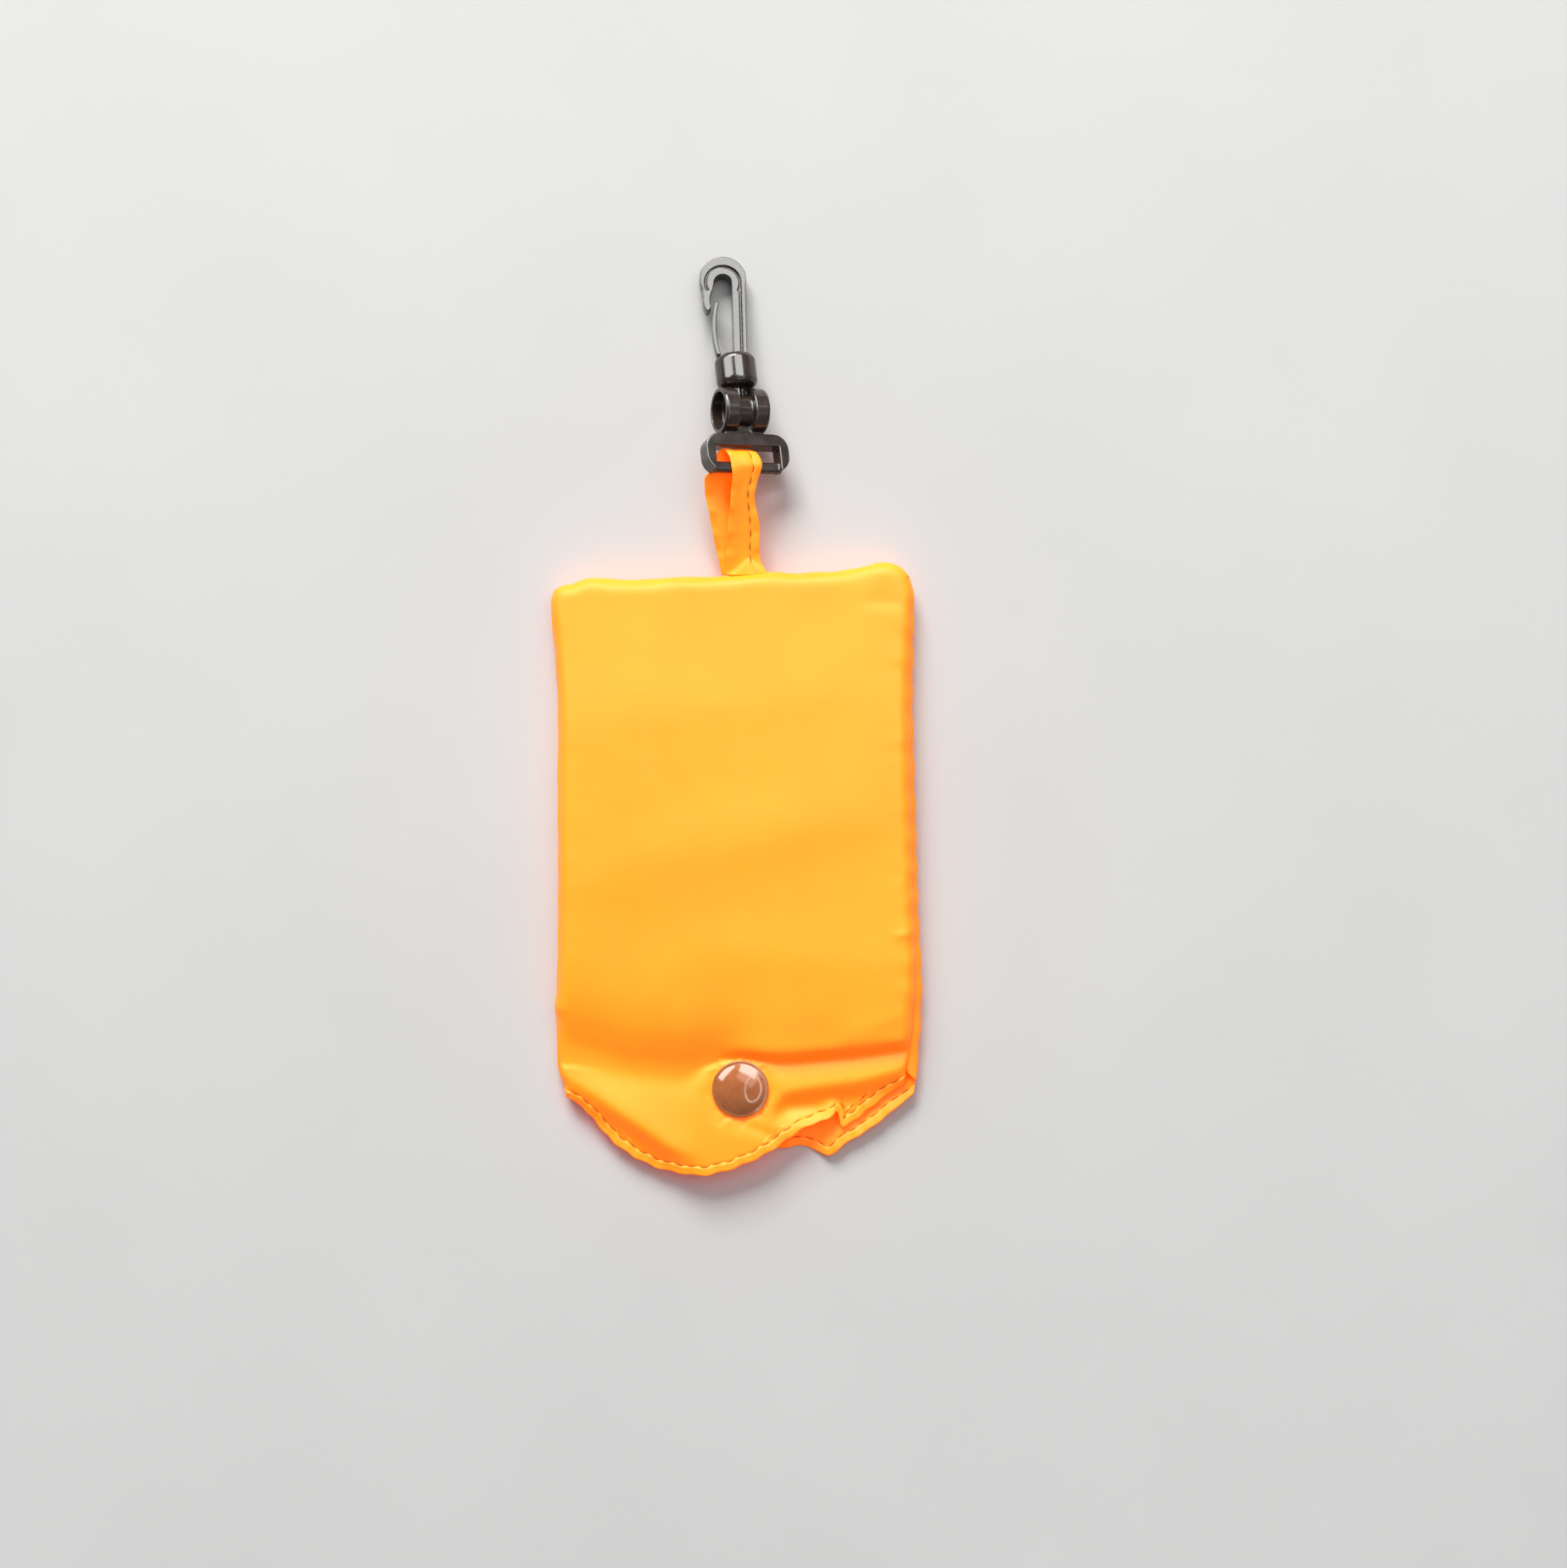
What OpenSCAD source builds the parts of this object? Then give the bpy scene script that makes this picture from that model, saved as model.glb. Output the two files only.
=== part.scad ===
// Flat fabric pouch with a scalloped snap mouth and a swivel snap hook on a strap.
// The pouch lies on its back: +X right, +Y towards the hook, +Z up.
// The origin is the centre of the pouch's back, on the surface it lies on.

/* [Pouch] */
// Width across the side seams
pouch_w = 79; // [70:1:90]
// Distance from the centre of the back to the top seam
top_seam_y = 64.5; // [60:0.5:75]
// Height of the filled pouch
pouch_h = 9.6; // [9.4:0.1:12]
// Distance below the centre where the front starts to fall to the mouth
fold_y = 28; // [26:1:30]
// Distance below the centre to the crease above the mouth
crease_y = 40.2; // [39.6:0.1:41]
// Thickness of a cloth wall
cloth_t = 0.6; // [0.4:0.1:0.6]
// Depth of the turned hems along the mouth
hem_depth = 2.2; // [1.6:0.1:2.6]

/* [Snap] */
// Distance below the centre to the middle of the snap
snap_y = 47.2; // [47:0.1:48]
// Radius of the domed cap and of the back cap
snap_cap_r = 6.2; // [5.8:0.1:6.4]
// Height of the dome
snap_dome_h = 2.0; // [1.4:0.1:2.4]
// Radius of the stud's post
stud_r = 2.0; // [1.7:0.1:2.0]

/* [Strap] */
// Width of the strap's tape
strap_w = 7.2; // [6:0.1:7.5]
// Thickness of the strap's tape
strap_t = 0.5; // [0.4:0.1:0.5]

/* [Clip] */
// Distance to the right of the centre of the bar that the strap goes round
bar_x = 4.2; // [3.6:0.1:4.8]
// Distance of that bar from the centre, towards the hook
bar_y = 87.7; // [87:0.1:89]
// Height of that bar
bar_z = 9.0; // [9:0.1:9.6]
// Lean of the clip to the left, seen from above
clip_lean = 5; // [3:0.5:6]
// Dip of the clip towards the hook's tip
clip_pitch = 8.9; // [8.6:0.1:8.9]
// Roll of the swivel base, with its left side raised
base_roll = 24; // [16:1:24]
// Roll of the hook, with its left side raised
hook_roll = 6; // [0:1:7]
// Length of the base's strap loop, across the clip
loop_w = 19.2; // [18.8:0.1:19.6]
// Depth of the base's strap loop, along the clip
loop_d = 8.3; // [8.1:0.1:8.5]
// Outer radius of the two rings between the loop and the collar
ring_r = 5.0; // [4.8:0.1:5]
// Radius of the hook's collar
collar_r = 4.5; // [4.2:0.1:4.6]
// Thickness of the hook
hook_t = 3.0; // [2.6:0.1:3.0]
// Inner radius of the hook's crook
crook_r = 1.95; // [1.85:0.05:2]

/* [Hidden] */
$fn = 64;

half_w = pouch_w / 2;
front_seam_z = 3.3;        // the front wall ends here
back_seam_z = 3.1;         // the back wall ends here, and the seam thread lies between
side_round = 4;            // how far the front curves in at the side seams
end_round = 4.5;           // the same at the top seam
back_round = 3;            // how far the back curves in at its seams
corner_r = 3.5;            // corners of the closed end, seen from above
crease_z = 4.3;            // top of the front cloth in the crease
lip_snap_z = 5.5;          // top of the front lip round the snap
lip_start_y = -33;         // the lips' outlines begin here, inside the pouch
lip_gap = 0.05;            // slit between the front panel and the lip that folds up
thread_h = 0.15;           // how far a line of stitches stands proud
thread_w = 0.4;            // width of a line of stitches
hem_extra = 0.2;           // a turned hem is this much thicker on each face
prong_r = 1.1;             // prong of each snap cap
back_cap_t = 1.0;          // flange of the back cap
mouth_half_w = 38.2;       // half the width of the mouth between its seam ends
inner_slope = (pouch_h - crease_z) / (crease_y - fold_y);
slope_drop = cloth_t * sqrt(1 + inner_slope * inner_slope);
big = 200;

// Lower edges of the mouth, from left to right
front_hem = [[-38.2, -48.6], [-33, -53], [-28.5, -58.4], [-21, -63.5], [-8.5, -66],
             [2.5, -63], [12.5, -57], [18.5, -54.8], [22, -56.8], [31, -50.4], [35.8, -47]];
back_hem = [[-38.2, -48.6], [-30, -54.6], [-20, -60], [-8, -61.5], [6.5, -61.2],
            [13, -60.8], [19, -63], [28.3, -57], [38.2, -49.4]];

// ---- helpers ----

function curve_point(a, b, c, d, t) =
    0.5 * (2 * b + (c - a) * t + (2 * a - 5 * b + 4 * c - d) * t * t
           + (3 * b - a - 3 * c + d) * t * t * t);

// Smooth curve through points p, with n steps between neighbours
function curve(p, n) =
    let (last = len(p) - 1)
    [for (i = [0:last - 1], k = [0:n - 1])
         curve_point(p[max(i - 1, 0)], p[i], p[i + 1], p[min(i + 2, last)], k / n),
     p[last]];

function shifted(p, dx, dy) = [for (q = p) q + [dx, dy]];

function reversed(p) = [for (i = [len(p) - 1:-1:0]) p[i]];

// Quarter of an ellipse from (cx + rx, cy) to (cx, cy + ry)
function quarter(cx, cy, rx, ry, n = 8) =
    [for (k = [0:n]) [cx + rx * cos(90 * k / n), cy + ry * sin(90 * k / n)]];

function smooth(t) = t * t * (3 - 2 * t);

// Extrudes a YZ outline along X, centred
module along_x(length) {
    rotate([90, 0, 90]) linear_extrude(length, center = true) children();
}

// Extrudes an XZ outline along Y, from y0 to y1
module along_y(y0, y1) {
    translate([0, y1, 0]) rotate([90, 0, 0]) linear_extrude(y1 - y0) children();
}

module slab(y0, y1, z0, z1) {
    translate([-big / 2, y0, z0]) cube([big, y1 - y0, z1 - z0]);
}

module rounded_rect(w, h, r) {
    square([w - 2 * r, h], center = true);
    square([w, h - 2 * r], center = true);
    for (x = [-1, 1], y = [-1, 1])
        translate([x * (w / 2 - r), y * (h / 2 - r)]) circle(r);
}

// Pouch seen from above, with rounded corners at the closed end
module plan_outline(inset) {
    w = half_w - inset;
    y = top_seam_y - inset;
    r = corner_r;
    m = mouth_half_w - inset;
    polygon([[-w + r, y], [-w, y - r], [-w, -fold_y], [-m, -crease_y - 9], [-m, -big],
             [m, -big], [m, -crease_y - 9], [w, -fold_y], [w, y - r], [w - r, y]]);
    for (x = [-1, 1])
        translate([x * (w - r), y - r]) circle(r);
}

// ---- front and back cloth ----

// Space under the front cloth, from the seams up
module front_dome(inset) {
    w = half_w - inset;
    h = pouch_h - inset - front_seam_z;
    rx = side_round - inset;
    ry = end_round - inset;
    y = top_seam_y - inset;
    slope_top = inset > 0 ? pouch_h - slope_drop : pouch_h;
    slope_y = -fold_y + (pouch_h - inset - slope_top) / inner_slope;
    mouth_y = -crease_y - (inset > 0 ? 5 : 0);
    mouth_z = slope_top - inner_slope * (-mouth_y - fold_y);
    intersection() {
        along_x(big) polygon(concat(
            quarter(y - ry, front_seam_z, ry, h),
            [[slope_y, pouch_h - inset], [mouth_y, mouth_z],
             [mouth_y, min(mouth_z, front_seam_z) - (inset > 0 ? 1 : 0)],
             [y, front_seam_z - (inset > 0 ? 1 : 0)]]));
        along_y(-big, big) polygon(concat(
            quarter(w - rx, front_seam_z, rx, h),
            [for (q = reversed(quarter(w - rx, front_seam_z, rx, h))) [-q.x, q.y]],
            inset > 0 ? [[-w, front_seam_z - 1], [w, front_seam_z - 1]] : []));
        linear_extrude(big, center = true) plan_outline(inset);
    }
}

module front_shell() {
    difference() {
        front_dome(0);
        front_dome(cloth_t);
    }
}

module front_panel() {
    color("orange") intersection() {
        front_shell();
        slab(-fold_y, big, -1, big);
    }
}

// Height of the front lip's upper face at distances below the crease
lip_top = [[-crease_y + 0.4, crease_z + 0.4 * inner_slope], [-crease_y, crease_z],
           [-crease_y - 2.4, lip_snap_z], [-53.8, lip_snap_z], [-60, 4.4], [-67, 2.6]];

// Layer under the line p, t thick
module layer(p, t) {
    along_x(big) polygon(concat(p, reversed(shifted(p, 0, -t))));
}

// Outline of a lip with its hem moved inwards by inset
module lip_outline(hem, right, inset) {
    polygon(concat([[-half_w, lip_start_y]], shifted(curve(hem, 6), 0, inset),
                   [right, [half_w, lip_start_y]]));
}

module front_lip_plan(inset) {
    lip_outline(front_hem, [37.4, -crease_y - 0.4], inset);
}

module back_lip_plan(inset) {
    lip_outline(back_hem, [mouth_half_w, -crease_y], inset);
}

module front_lip() {
    color("darkorange") difference() {
        union() {
            intersection() {
                front_shell();
                slab(-crease_y, -fold_y - lip_gap, -1, big);
            }
            intersection() {
                layer(lip_top, cloth_t);
                linear_extrude(big) intersection() {
                    front_lip_plan(0);
                    plan_outline(0);
                }
            }
            intersection() {
                layer(shifted(lip_top, 0, hem_extra), cloth_t + 2 * hem_extra);
                linear_extrude(big) difference() {
                    front_lip_plan(0);
                    front_lip_plan(hem_depth);
                }
            }
        }
        translate([0, -snap_y, 0]) cylinder(h = pouch_h, r = prong_r);
    }
}

module front_hem_thread() {
    color("chocolate") intersection() {
        layer(shifted(lip_top, 0, hem_extra + thread_h), thread_h);
        linear_extrude(big) difference() {
            front_lip_plan(hem_depth - thread_w - 0.2);
            front_lip_plan(hem_depth - 0.2);
        }
    }
}

// Height of the back lip's upper face
back_top = [[-33, cloth_t], [-37, cloth_t], [-40.5, back_cap_t + cloth_t],
            [-54.5, back_cap_t + cloth_t], [-60, cloth_t + 0.1], [-64, cloth_t]];

// Space over the back cloth, from the surface up to the seams
module back_tray(inset, y0) {
    w = half_w - inset;
    h = back_seam_z - inset;
    r = back_round - inset;
    y = top_seam_y - inset;
    up = inset > 0 ? 1 : 0;
    intersection() {
        along_x(big) polygon(concat(
            [for (q = quarter(y - r, 0, r, h)) [q.x, back_seam_z - q.y]],
            [[y0, inset], [y0, back_seam_z + up], [y, back_seam_z + up]]));
        along_y(-big, big) polygon(concat(
            [for (q = quarter(w - r, 0, r, h)) [q.x, back_seam_z - q.y]],
            [for (q = reversed(quarter(w - r, 0, r, h))) [-q.x, back_seam_z - q.y]],
            [[-w, back_seam_z + up], [w, back_seam_z + up]]));
        linear_extrude(big, center = true) plan_outline(inset);
    }
}

module back_panel() {
    color("darkorange") difference() {
        union() {
            difference() {
                back_tray(0, -36);
                back_tray(cloth_t, -38);
            }
            intersection() {
                layer(back_top, cloth_t);
                linear_extrude(big) intersection() {
                    back_lip_plan(0);
                    plan_outline(0);
                }
            }
            intersection() {
                layer(shifted(back_top, 0, hem_extra), cloth_t + hem_extra);
                linear_extrude(big) difference() {
                    back_lip_plan(0);
                    back_lip_plan(hem_depth);
                }
            }
        }
        translate([0, -snap_y, 0]) cylinder(h = pouch_h, r = prong_r);
    }
}

module back_hem_thread() {
    color("chocolate") intersection() {
        layer(shifted(back_top, 0, hem_extra + thread_h), thread_h);
        linear_extrude(big) difference() {
            back_lip_plan(hem_depth - thread_w - 0.2);
            back_lip_plan(hem_depth - 0.2);
        }
    }
}

// Stitches between the front and back walls along one side seam
module side_seam_thread(side) {
    x = side * (half_w - cloth_t / 2);
    y0 = -fold_y;
    y1 = top_seam_y - corner_r;
    color("chocolate")
        translate([x - thread_w / 2, y0, back_seam_z])
            cube([thread_w, y1 - y0, front_seam_z - back_seam_z]);
}

module left_seam_thread() {
    side_seam_thread(-1);
}

module right_seam_thread() {
    side_seam_thread(1);
}

module top_seam_thread() {
    w = half_w - corner_r;
    y = top_seam_y - cloth_t / 2;
    color("chocolate")
        translate([-w, y - thread_w / 2, back_seam_z])
            cube([2 * w, thread_w, front_seam_z - back_seam_z]);
}

// ---- contents ----

insert_half_w = 33;
insert_y0 = -24;
insert_y1 = 59;
insert_layers = 3;
insert_pitch = 1.08;
insert_slit = 0.12;

// A sheet folded to and fro, open on alternate sides
module folded_insert() {
    h = insert_layers * insert_pitch - insert_slit;
    color("orangered") translate([0, 0, cloth_t]) difference() {
        along_y(insert_y0, insert_y1) translate([0, h / 2])
            rounded_rect(2 * insert_half_w, h, 1.2);
        for (k = [1:insert_layers - 1]) {
            side = k % 2 == 0 ? -1 : 1;
            translate([side * insert_half_w, (insert_y0 + insert_y1) / 2,
                       k * insert_pitch - insert_slit / 2])
                cube([4 * insert_half_w - 3, big, insert_slit], center = true);
        }
    }
}

// ---- snap ----

stud_base_z = back_cap_t + cloth_t;
stud_base_t = 0.9;
stud_top_z = 4.3;
socket_z = 3.1;
socket_web = 0.4;
lip_under_z = lip_snap_z - cloth_t;
socket_bore_r = stud_r + 0.6;

module at_snap(z) {
    translate([0, -snap_y, z]) children();
}

module snap_back_cap() {
    color("dimgray") at_snap(0) rotate_extrude() polygon([
        [0, 0], [snap_cap_r - 0.4, 0], [snap_cap_r, 0.4], [snap_cap_r, 0.7],
        [snap_cap_r - 0.3, back_cap_t], [prong_r, back_cap_t], [prong_r, 2.9], [0, 3.2]]);
}

module snap_stud() {
    color("dimgray") at_snap(stud_base_z) rotate_extrude() polygon([
        [prong_r, 0], [5, 0], [5, 0.6], [4.7, stud_base_t], [stud_r + 0.2, stud_base_t],
        [stud_r, 1.1], [stud_r, 2.3], [stud_r - 0.3, stud_top_z - stud_base_z],
        [prong_r, stud_top_z - stud_base_z]]);
}

module snap_socket() {
    h = lip_under_z - socket_z;
    color("dimgray") at_snap(socket_z) rotate_extrude() polygon([
        [socket_bore_r, 0], [4.5, 0], [4.85, 0.4], [4.85, h], [prong_r, h],
        [prong_r, h - socket_web], [socket_bore_r, h - socket_web]]);
}

module snap_cap() {
    rim = 0.5;
    dome_h = snap_dome_h - rim;
    dome_r = (snap_cap_r * snap_cap_r + dome_h * dome_h) / (2 * dome_h);
    edge = asin(snap_cap_r / dome_r);
    color("dimgray") at_snap(lip_snap_z) rotate_extrude() polygon(concat(
        [[0, -cloth_t - socket_web + 0.02], [prong_r, -cloth_t - socket_web + 0.02],
         [prong_r, 0], [snap_cap_r - 0.2, 0]],
        [for (k = [0:10])
             [dome_r * sin(edge * (1 - k / 10)),
              snap_dome_h - dome_r + dome_r * cos(edge * (1 - k / 10))]]));
}

// ---- strap ----

bar_half_w = 1.2;
bar_half_t = 0.95;
bar_round = 0.75;
curl_r = 1.5 + strap_t / 2;
bar_c = [bar_x, bar_y, bar_z];
strap_foot = [3.6, top_seam_y + 0.7, 3.2];
foot_gap = 0.33;
leg_steps = 14;
curl_steps = 12;

// Sideways shift of each leg of the strap, from the foot, 0, to the bar, 1
front_shift = [[0, 0], [0.5, -0.5], [1, 0.2]];
back_shift = [[0, -1.2], [0.25, -2.6], [0.5, -3.8], [0.75, -4.6], [0.88, -3.4], [1, -3]];

function cross_unit(a, b) = let (c = cross(a, b)) c / norm(c);

// Across direction of the clip at a roll
function across(roll, lean, pitch) =
    let (u = [cos(lean), sin(lean), 0],
         w = [-sin(lean) * sin(pitch), cos(lean) * sin(pitch), cos(pitch)])
    u * cos(roll) - w * sin(roll);

function along(lean, pitch) =
    [-sin(lean) * cos(pitch), cos(lean) * cos(pitch), -sin(pitch)];

// A leg's section at t: middle, across and outward directions
function leg_frame(t, side) =
    let (u = across(base_roll * smooth(t), clip_lean * t, clip_pitch * t),
         run = (bar_c - strap_foot) / norm(bar_c - strap_foot),
         d = run * (1 - t) + along(clip_lean, clip_pitch) * t,
         out = cross_unit(u, d),
         lift = foot_gap + (curl_r - foot_gap) * t * sqrt(t),
         shift = lookup(t, side > 0 ? front_shift : back_shift))
    [strap_foot + t * (bar_c - strap_foot) + u * shift + out * side * lift,
     u, out * side];

function curl_frame(k) =
    let (u = across(base_roll, clip_lean, clip_pitch),
         d = along(clip_lean, clip_pitch),
         w = cross_unit(u, d),
         a = 90 - 180 * k / curl_steps,
         out = w * sin(a) + d * cos(a),
         shift = 0.2 - 3.2 * smooth(k / curl_steps))
    [bar_c + u * shift + out * curl_r, u, out];

strap_frames = concat(
    [for (k = [0:leg_steps - 1]) leg_frame(k / leg_steps, 1)],
    [for (k = [0:curl_steps]) curl_frame(k)],
    [for (k = [leg_steps - 1:-1:0]) leg_frame(k / leg_steps, -1)]);

// Flat ribbon through frames: from a0 to a1 across, and from n0 to n1 outward
module ribbon(frames, a0, a1, n0, n1) {
    n = len(frames);
    points = [for (f = frames, c = [[a0, n0], [a1, n0], [a1, n1], [a0, n1]])
                  f[0] + f[1] * c[0] + f[2] * c[1]];
    sides = [for (i = [0:n - 2], k = [0:3])
                 let (a = 4 * i + k, b = 4 * i + (k + 1) % 4)
                 each [[a, b, b + 4], [a, b + 4, a + 4]]];
    last = 4 * (n - 1);
    polyhedron(points, concat([[3, 2, 1, 0]], sides,
                              [[last, last + 1, last + 2, last + 3]]));
}

module strap_loop() {
    color("orange")
        ribbon(strap_frames, -strap_w / 2, strap_w / 2, -strap_t / 2, strap_t / 2);
}

module strap_thread() {
    stitched = [for (i = [1:leg_steps + 3]) strap_frames[i]];
    edge = strap_w / 2 - 2;
    lift = strap_t / 2 + 0.06;
    color("chocolate")
        ribbon(stitched, edge, edge + thread_w, lift, lift + 0.12);
}

// ---- swivel base ----

loop_t = 4;                // thickness of the strap loop
slot_w = 15;               // length of the slot
slot_end = 4.4;            // far edge of the slot from the bar
web_w = 9;                 // web between the loop and the rings
ring_v = 12.8;             // middle of the rings from the bar
ring_wall = 0.95;
ring_half_w = 5.1;
web_end = ring_v - ring_r + 0.6;
recess_half_w = 1.7;       // recess between the two rings
recess_r = 3.4;
floor_t = 0.7;             // wall between the recess and each ring's hollow
collar_v = 18.1;           // near end of the collar
collar_h = 7.2;
neck_r = 1.6;
head_r = 2.6;
neck_wall = 1.5;           // wall that the neck turns in
slit = 0.4;                // slit that lets the neck's two halves spring

// Local frame of the clip: x across, y along, z out of its face
module clip_frame(roll) {
    translate(bar_c) rotate([0, 0, clip_lean]) rotate([-clip_pitch, 0, 0])
        rotate([0, roll, 0]) children();
}

// One half of the rings' section: hollow end, wall, and the recess at the middle
function ring_half(side) = [
    [0, side * (recess_half_w + floor_t)],
    [ring_r - ring_wall, side * (recess_half_w + floor_t)],
    [ring_r - ring_wall, side * ring_half_w], [ring_r - 0.25, side * ring_half_w],
    [ring_r, side * (ring_half_w - 0.4)], [ring_r, side * (recess_half_w + 0.2)],
    [ring_r - 0.2, side * recess_half_w], [recess_r, side * recess_half_w]];

module swivel_rings() {
    left = ring_half(-1);
    right = ring_half(1);
    translate([0, ring_v, 0]) rotate([0, 90, 0]) rotate_extrude()
        polygon(concat(left, [for (i = [len(right) - 1:-1:0]) right[i]]));
}

module swivel_post() {
    head_v = collar_v + neck_wall + 0.12;
    translate([0, ring_v + recess_r - 0.5, 0]) rotate([-90, 0, 0])
        cylinder(h = head_v - ring_v - recess_r + 0.8, r = neck_r);
    translate([0, head_v, 0]) rotate([-90, 0, 0]) rotate_extrude() polygon([
        [0, 0], [head_r, 0], [head_r, 0.9], [neck_r, 2.4], [0, 2.4]]);
}

module swivel_loop() {
    linear_extrude(loop_t, center = true) difference() {
        translate([0, loop_d / 2 - bar_half_w, 0]) rounded_rect(loop_w, loop_d, 3.3);
        translate([-slot_w / 2, -2 * bar_half_w]) square([slot_w, slot_end + 2 * bar_half_w]);
    }
    rotate([0, 90, 0]) linear_extrude(slot_w + 1, center = true)
        rounded_rect(2 * bar_half_t, 2 * bar_half_w, bar_round);
    translate([-web_w / 2, slot_end + 1, -1]) cube([web_w, web_end - slot_end - 1, 2]);
}

module swivel_base() {
    color("#222222") clip_frame(base_roll) difference() {
        union() {
            swivel_loop();
            swivel_rings();
            swivel_post();
        }
        translate([-slit / 2, ring_v + recess_r - 0.8, -big / 2]) cube([slit, big, big]);
    }
}

// ---- hook ----

hook_v = collar_v + collar_h;   // the hook's blade starts at the collar's far end
blade_turn = 4.4;               // the blade leans right of the swivel's axis
shank_l = -0.25;                // left and right faces of the shank
shank_r = 2.75;
crook_c = [-2.2, 16.4];         // middle of the crook's inner curve
crook_outer_c = [-2.15, 17.4];
crook_outer_r = 5.1;
groove_depth = 0.5;
groove_w = 0.5;
rib_w = 1.6;                    // rib along the inner edge of the blade
foot_depth = 1.2;               // how far the shank goes into the collar

module blade_frame() {
    clip_frame(hook_roll) translate([0, hook_v, 0]) rotate([0, 0, -blade_turn]) children();
}

module nose_outline() {
    inner = curve([[-4.1, 16.6], [-4.4, 15.1], [-4.9, 13.8], [-5.1, 12.6], [-5, 11.2],
                   [-4.85, 10.6]], 5);
    outer = curve([[-5.8, 9.8], [-6.35, 10.8], [-6.65, 12.1], [-6.6, 13.2], [-6.75, 14.6]], 5);
    polygon(concat(inner, outer, [[-5.5, 17.6]]));
}

module crook_void() {
    translate(crook_c) circle(crook_r);
    polygon([[shank_l, -5], [shank_l, 13.7], crook_c + [crook_r, 0], crook_c - [crook_r, 0],
             [-4.4, 15.1], [-4.9, 13.8], [-8, 13.8], [-8, -5]]);
}

module blade_outline() {
    difference() {
        union() {
            translate([shank_l, -foot_depth]) square([shank_r - shank_l, 20.4]);
            intersection() {
                translate(crook_outer_c) circle(crook_outer_r);
                translate([-10, 14.2]) square([20, 10]);
            }
        }
        crook_void();
    }
    nose_outline();
}

// Line between the inner rib and the rest of the blade, on each face
module blade_groove() {
    intersection() {
        translate(crook_c) difference() {
            circle(crook_r + rib_w + groove_w);
            circle(crook_r + rib_w);
        }
        translate([-10, crook_c[1] - 1.8]) square([20, 10]);
    }
    translate([shank_l + rib_w, 0.4]) square([groove_w, crook_c[1] - 0.4]);
}

module hook_collar() {
    edge = 1.5;
    translate([0, collar_v, 0]) rotate([-90, 0, 0]) rotate_extrude() polygon(concat(
        [[neck_r + 0.06, 0], [collar_r - edge, 0]],
        [for (k = [1:6]) [collar_r - edge + edge * sin(15 * k), edge - edge * cos(15 * k)]],
        [for (k = [0:5]) [collar_r - edge + edge * cos(15 * k),
                          collar_h - edge + edge * sin(15 * k)]],
        [[collar_r - edge, collar_h], [0, collar_h], [0, 4.6], [head_r + 0.25, 4.6],
         [head_r + 0.25, neck_wall], [neck_r + 0.06, neck_wall]]));
}

module hook() {
    color("#222222") {
        clip_frame(hook_roll) hook_collar();
        blade_frame() difference() {
            linear_extrude(hook_t, center = true) blade_outline();
            for (z = [-1, 1])
                translate([0, 0, z * hook_t / 2])
                    linear_extrude(2 * groove_depth, center = true) blade_groove();
        }
    }
}

// ---- gate ----

gate_arc_r = 22;
gate_arc_c = [17.65, 6.3];
gate_t = 0.7;
gate_w = 2.4;
gate_foot = 0.1;
gate_top = 12;

module hook_gate() {
    color("#222222") blade_frame() linear_extrude(gate_w, center = true) intersection() {
        translate(gate_arc_c) difference() {
            circle(gate_arc_r + gate_t / 2, $fn = 180);
            circle(gate_arc_r - gate_t / 2, $fn = 180);
        }
        translate([-8, gate_foot]) square([8, gate_top - gate_foot]);
    }
}

front_panel();
back_panel();
left_seam_thread();
right_seam_thread();
top_seam_thread();
back_hem_thread();
folded_insert();
snap_stud();
snap_back_cap();
front_lip();
front_hem_thread();
snap_socket();
snap_cap();
strap_loop();
strap_thread();
swivel_base();
hook();
hook_gate();
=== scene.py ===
"""Looks of the flat fabric pouch: its cloth, stitches, snap, strap and clip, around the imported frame.

Shapes are worked out in millimetres in the part's own frame and become metres in new_piece().
"""

import math

import bpy
import numpy as np
from mathutils import Matrix, Vector, noise


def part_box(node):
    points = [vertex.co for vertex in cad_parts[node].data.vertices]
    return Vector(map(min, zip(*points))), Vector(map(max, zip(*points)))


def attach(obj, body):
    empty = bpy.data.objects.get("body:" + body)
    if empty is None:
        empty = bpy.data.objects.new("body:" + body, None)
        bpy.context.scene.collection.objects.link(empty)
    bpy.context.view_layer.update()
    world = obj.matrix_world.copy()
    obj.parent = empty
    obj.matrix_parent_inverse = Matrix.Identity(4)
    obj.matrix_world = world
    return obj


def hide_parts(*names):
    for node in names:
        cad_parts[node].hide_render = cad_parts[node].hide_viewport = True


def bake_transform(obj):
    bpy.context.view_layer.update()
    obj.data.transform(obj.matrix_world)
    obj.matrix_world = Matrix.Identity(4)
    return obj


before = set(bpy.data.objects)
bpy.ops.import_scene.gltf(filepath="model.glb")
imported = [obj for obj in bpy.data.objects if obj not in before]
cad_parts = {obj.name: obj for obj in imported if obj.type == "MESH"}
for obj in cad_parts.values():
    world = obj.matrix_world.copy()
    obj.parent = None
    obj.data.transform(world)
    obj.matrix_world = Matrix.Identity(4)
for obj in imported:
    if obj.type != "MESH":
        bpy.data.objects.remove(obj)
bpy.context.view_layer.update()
MM = 0.001

# ---- driving values, in millimetres ----

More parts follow.
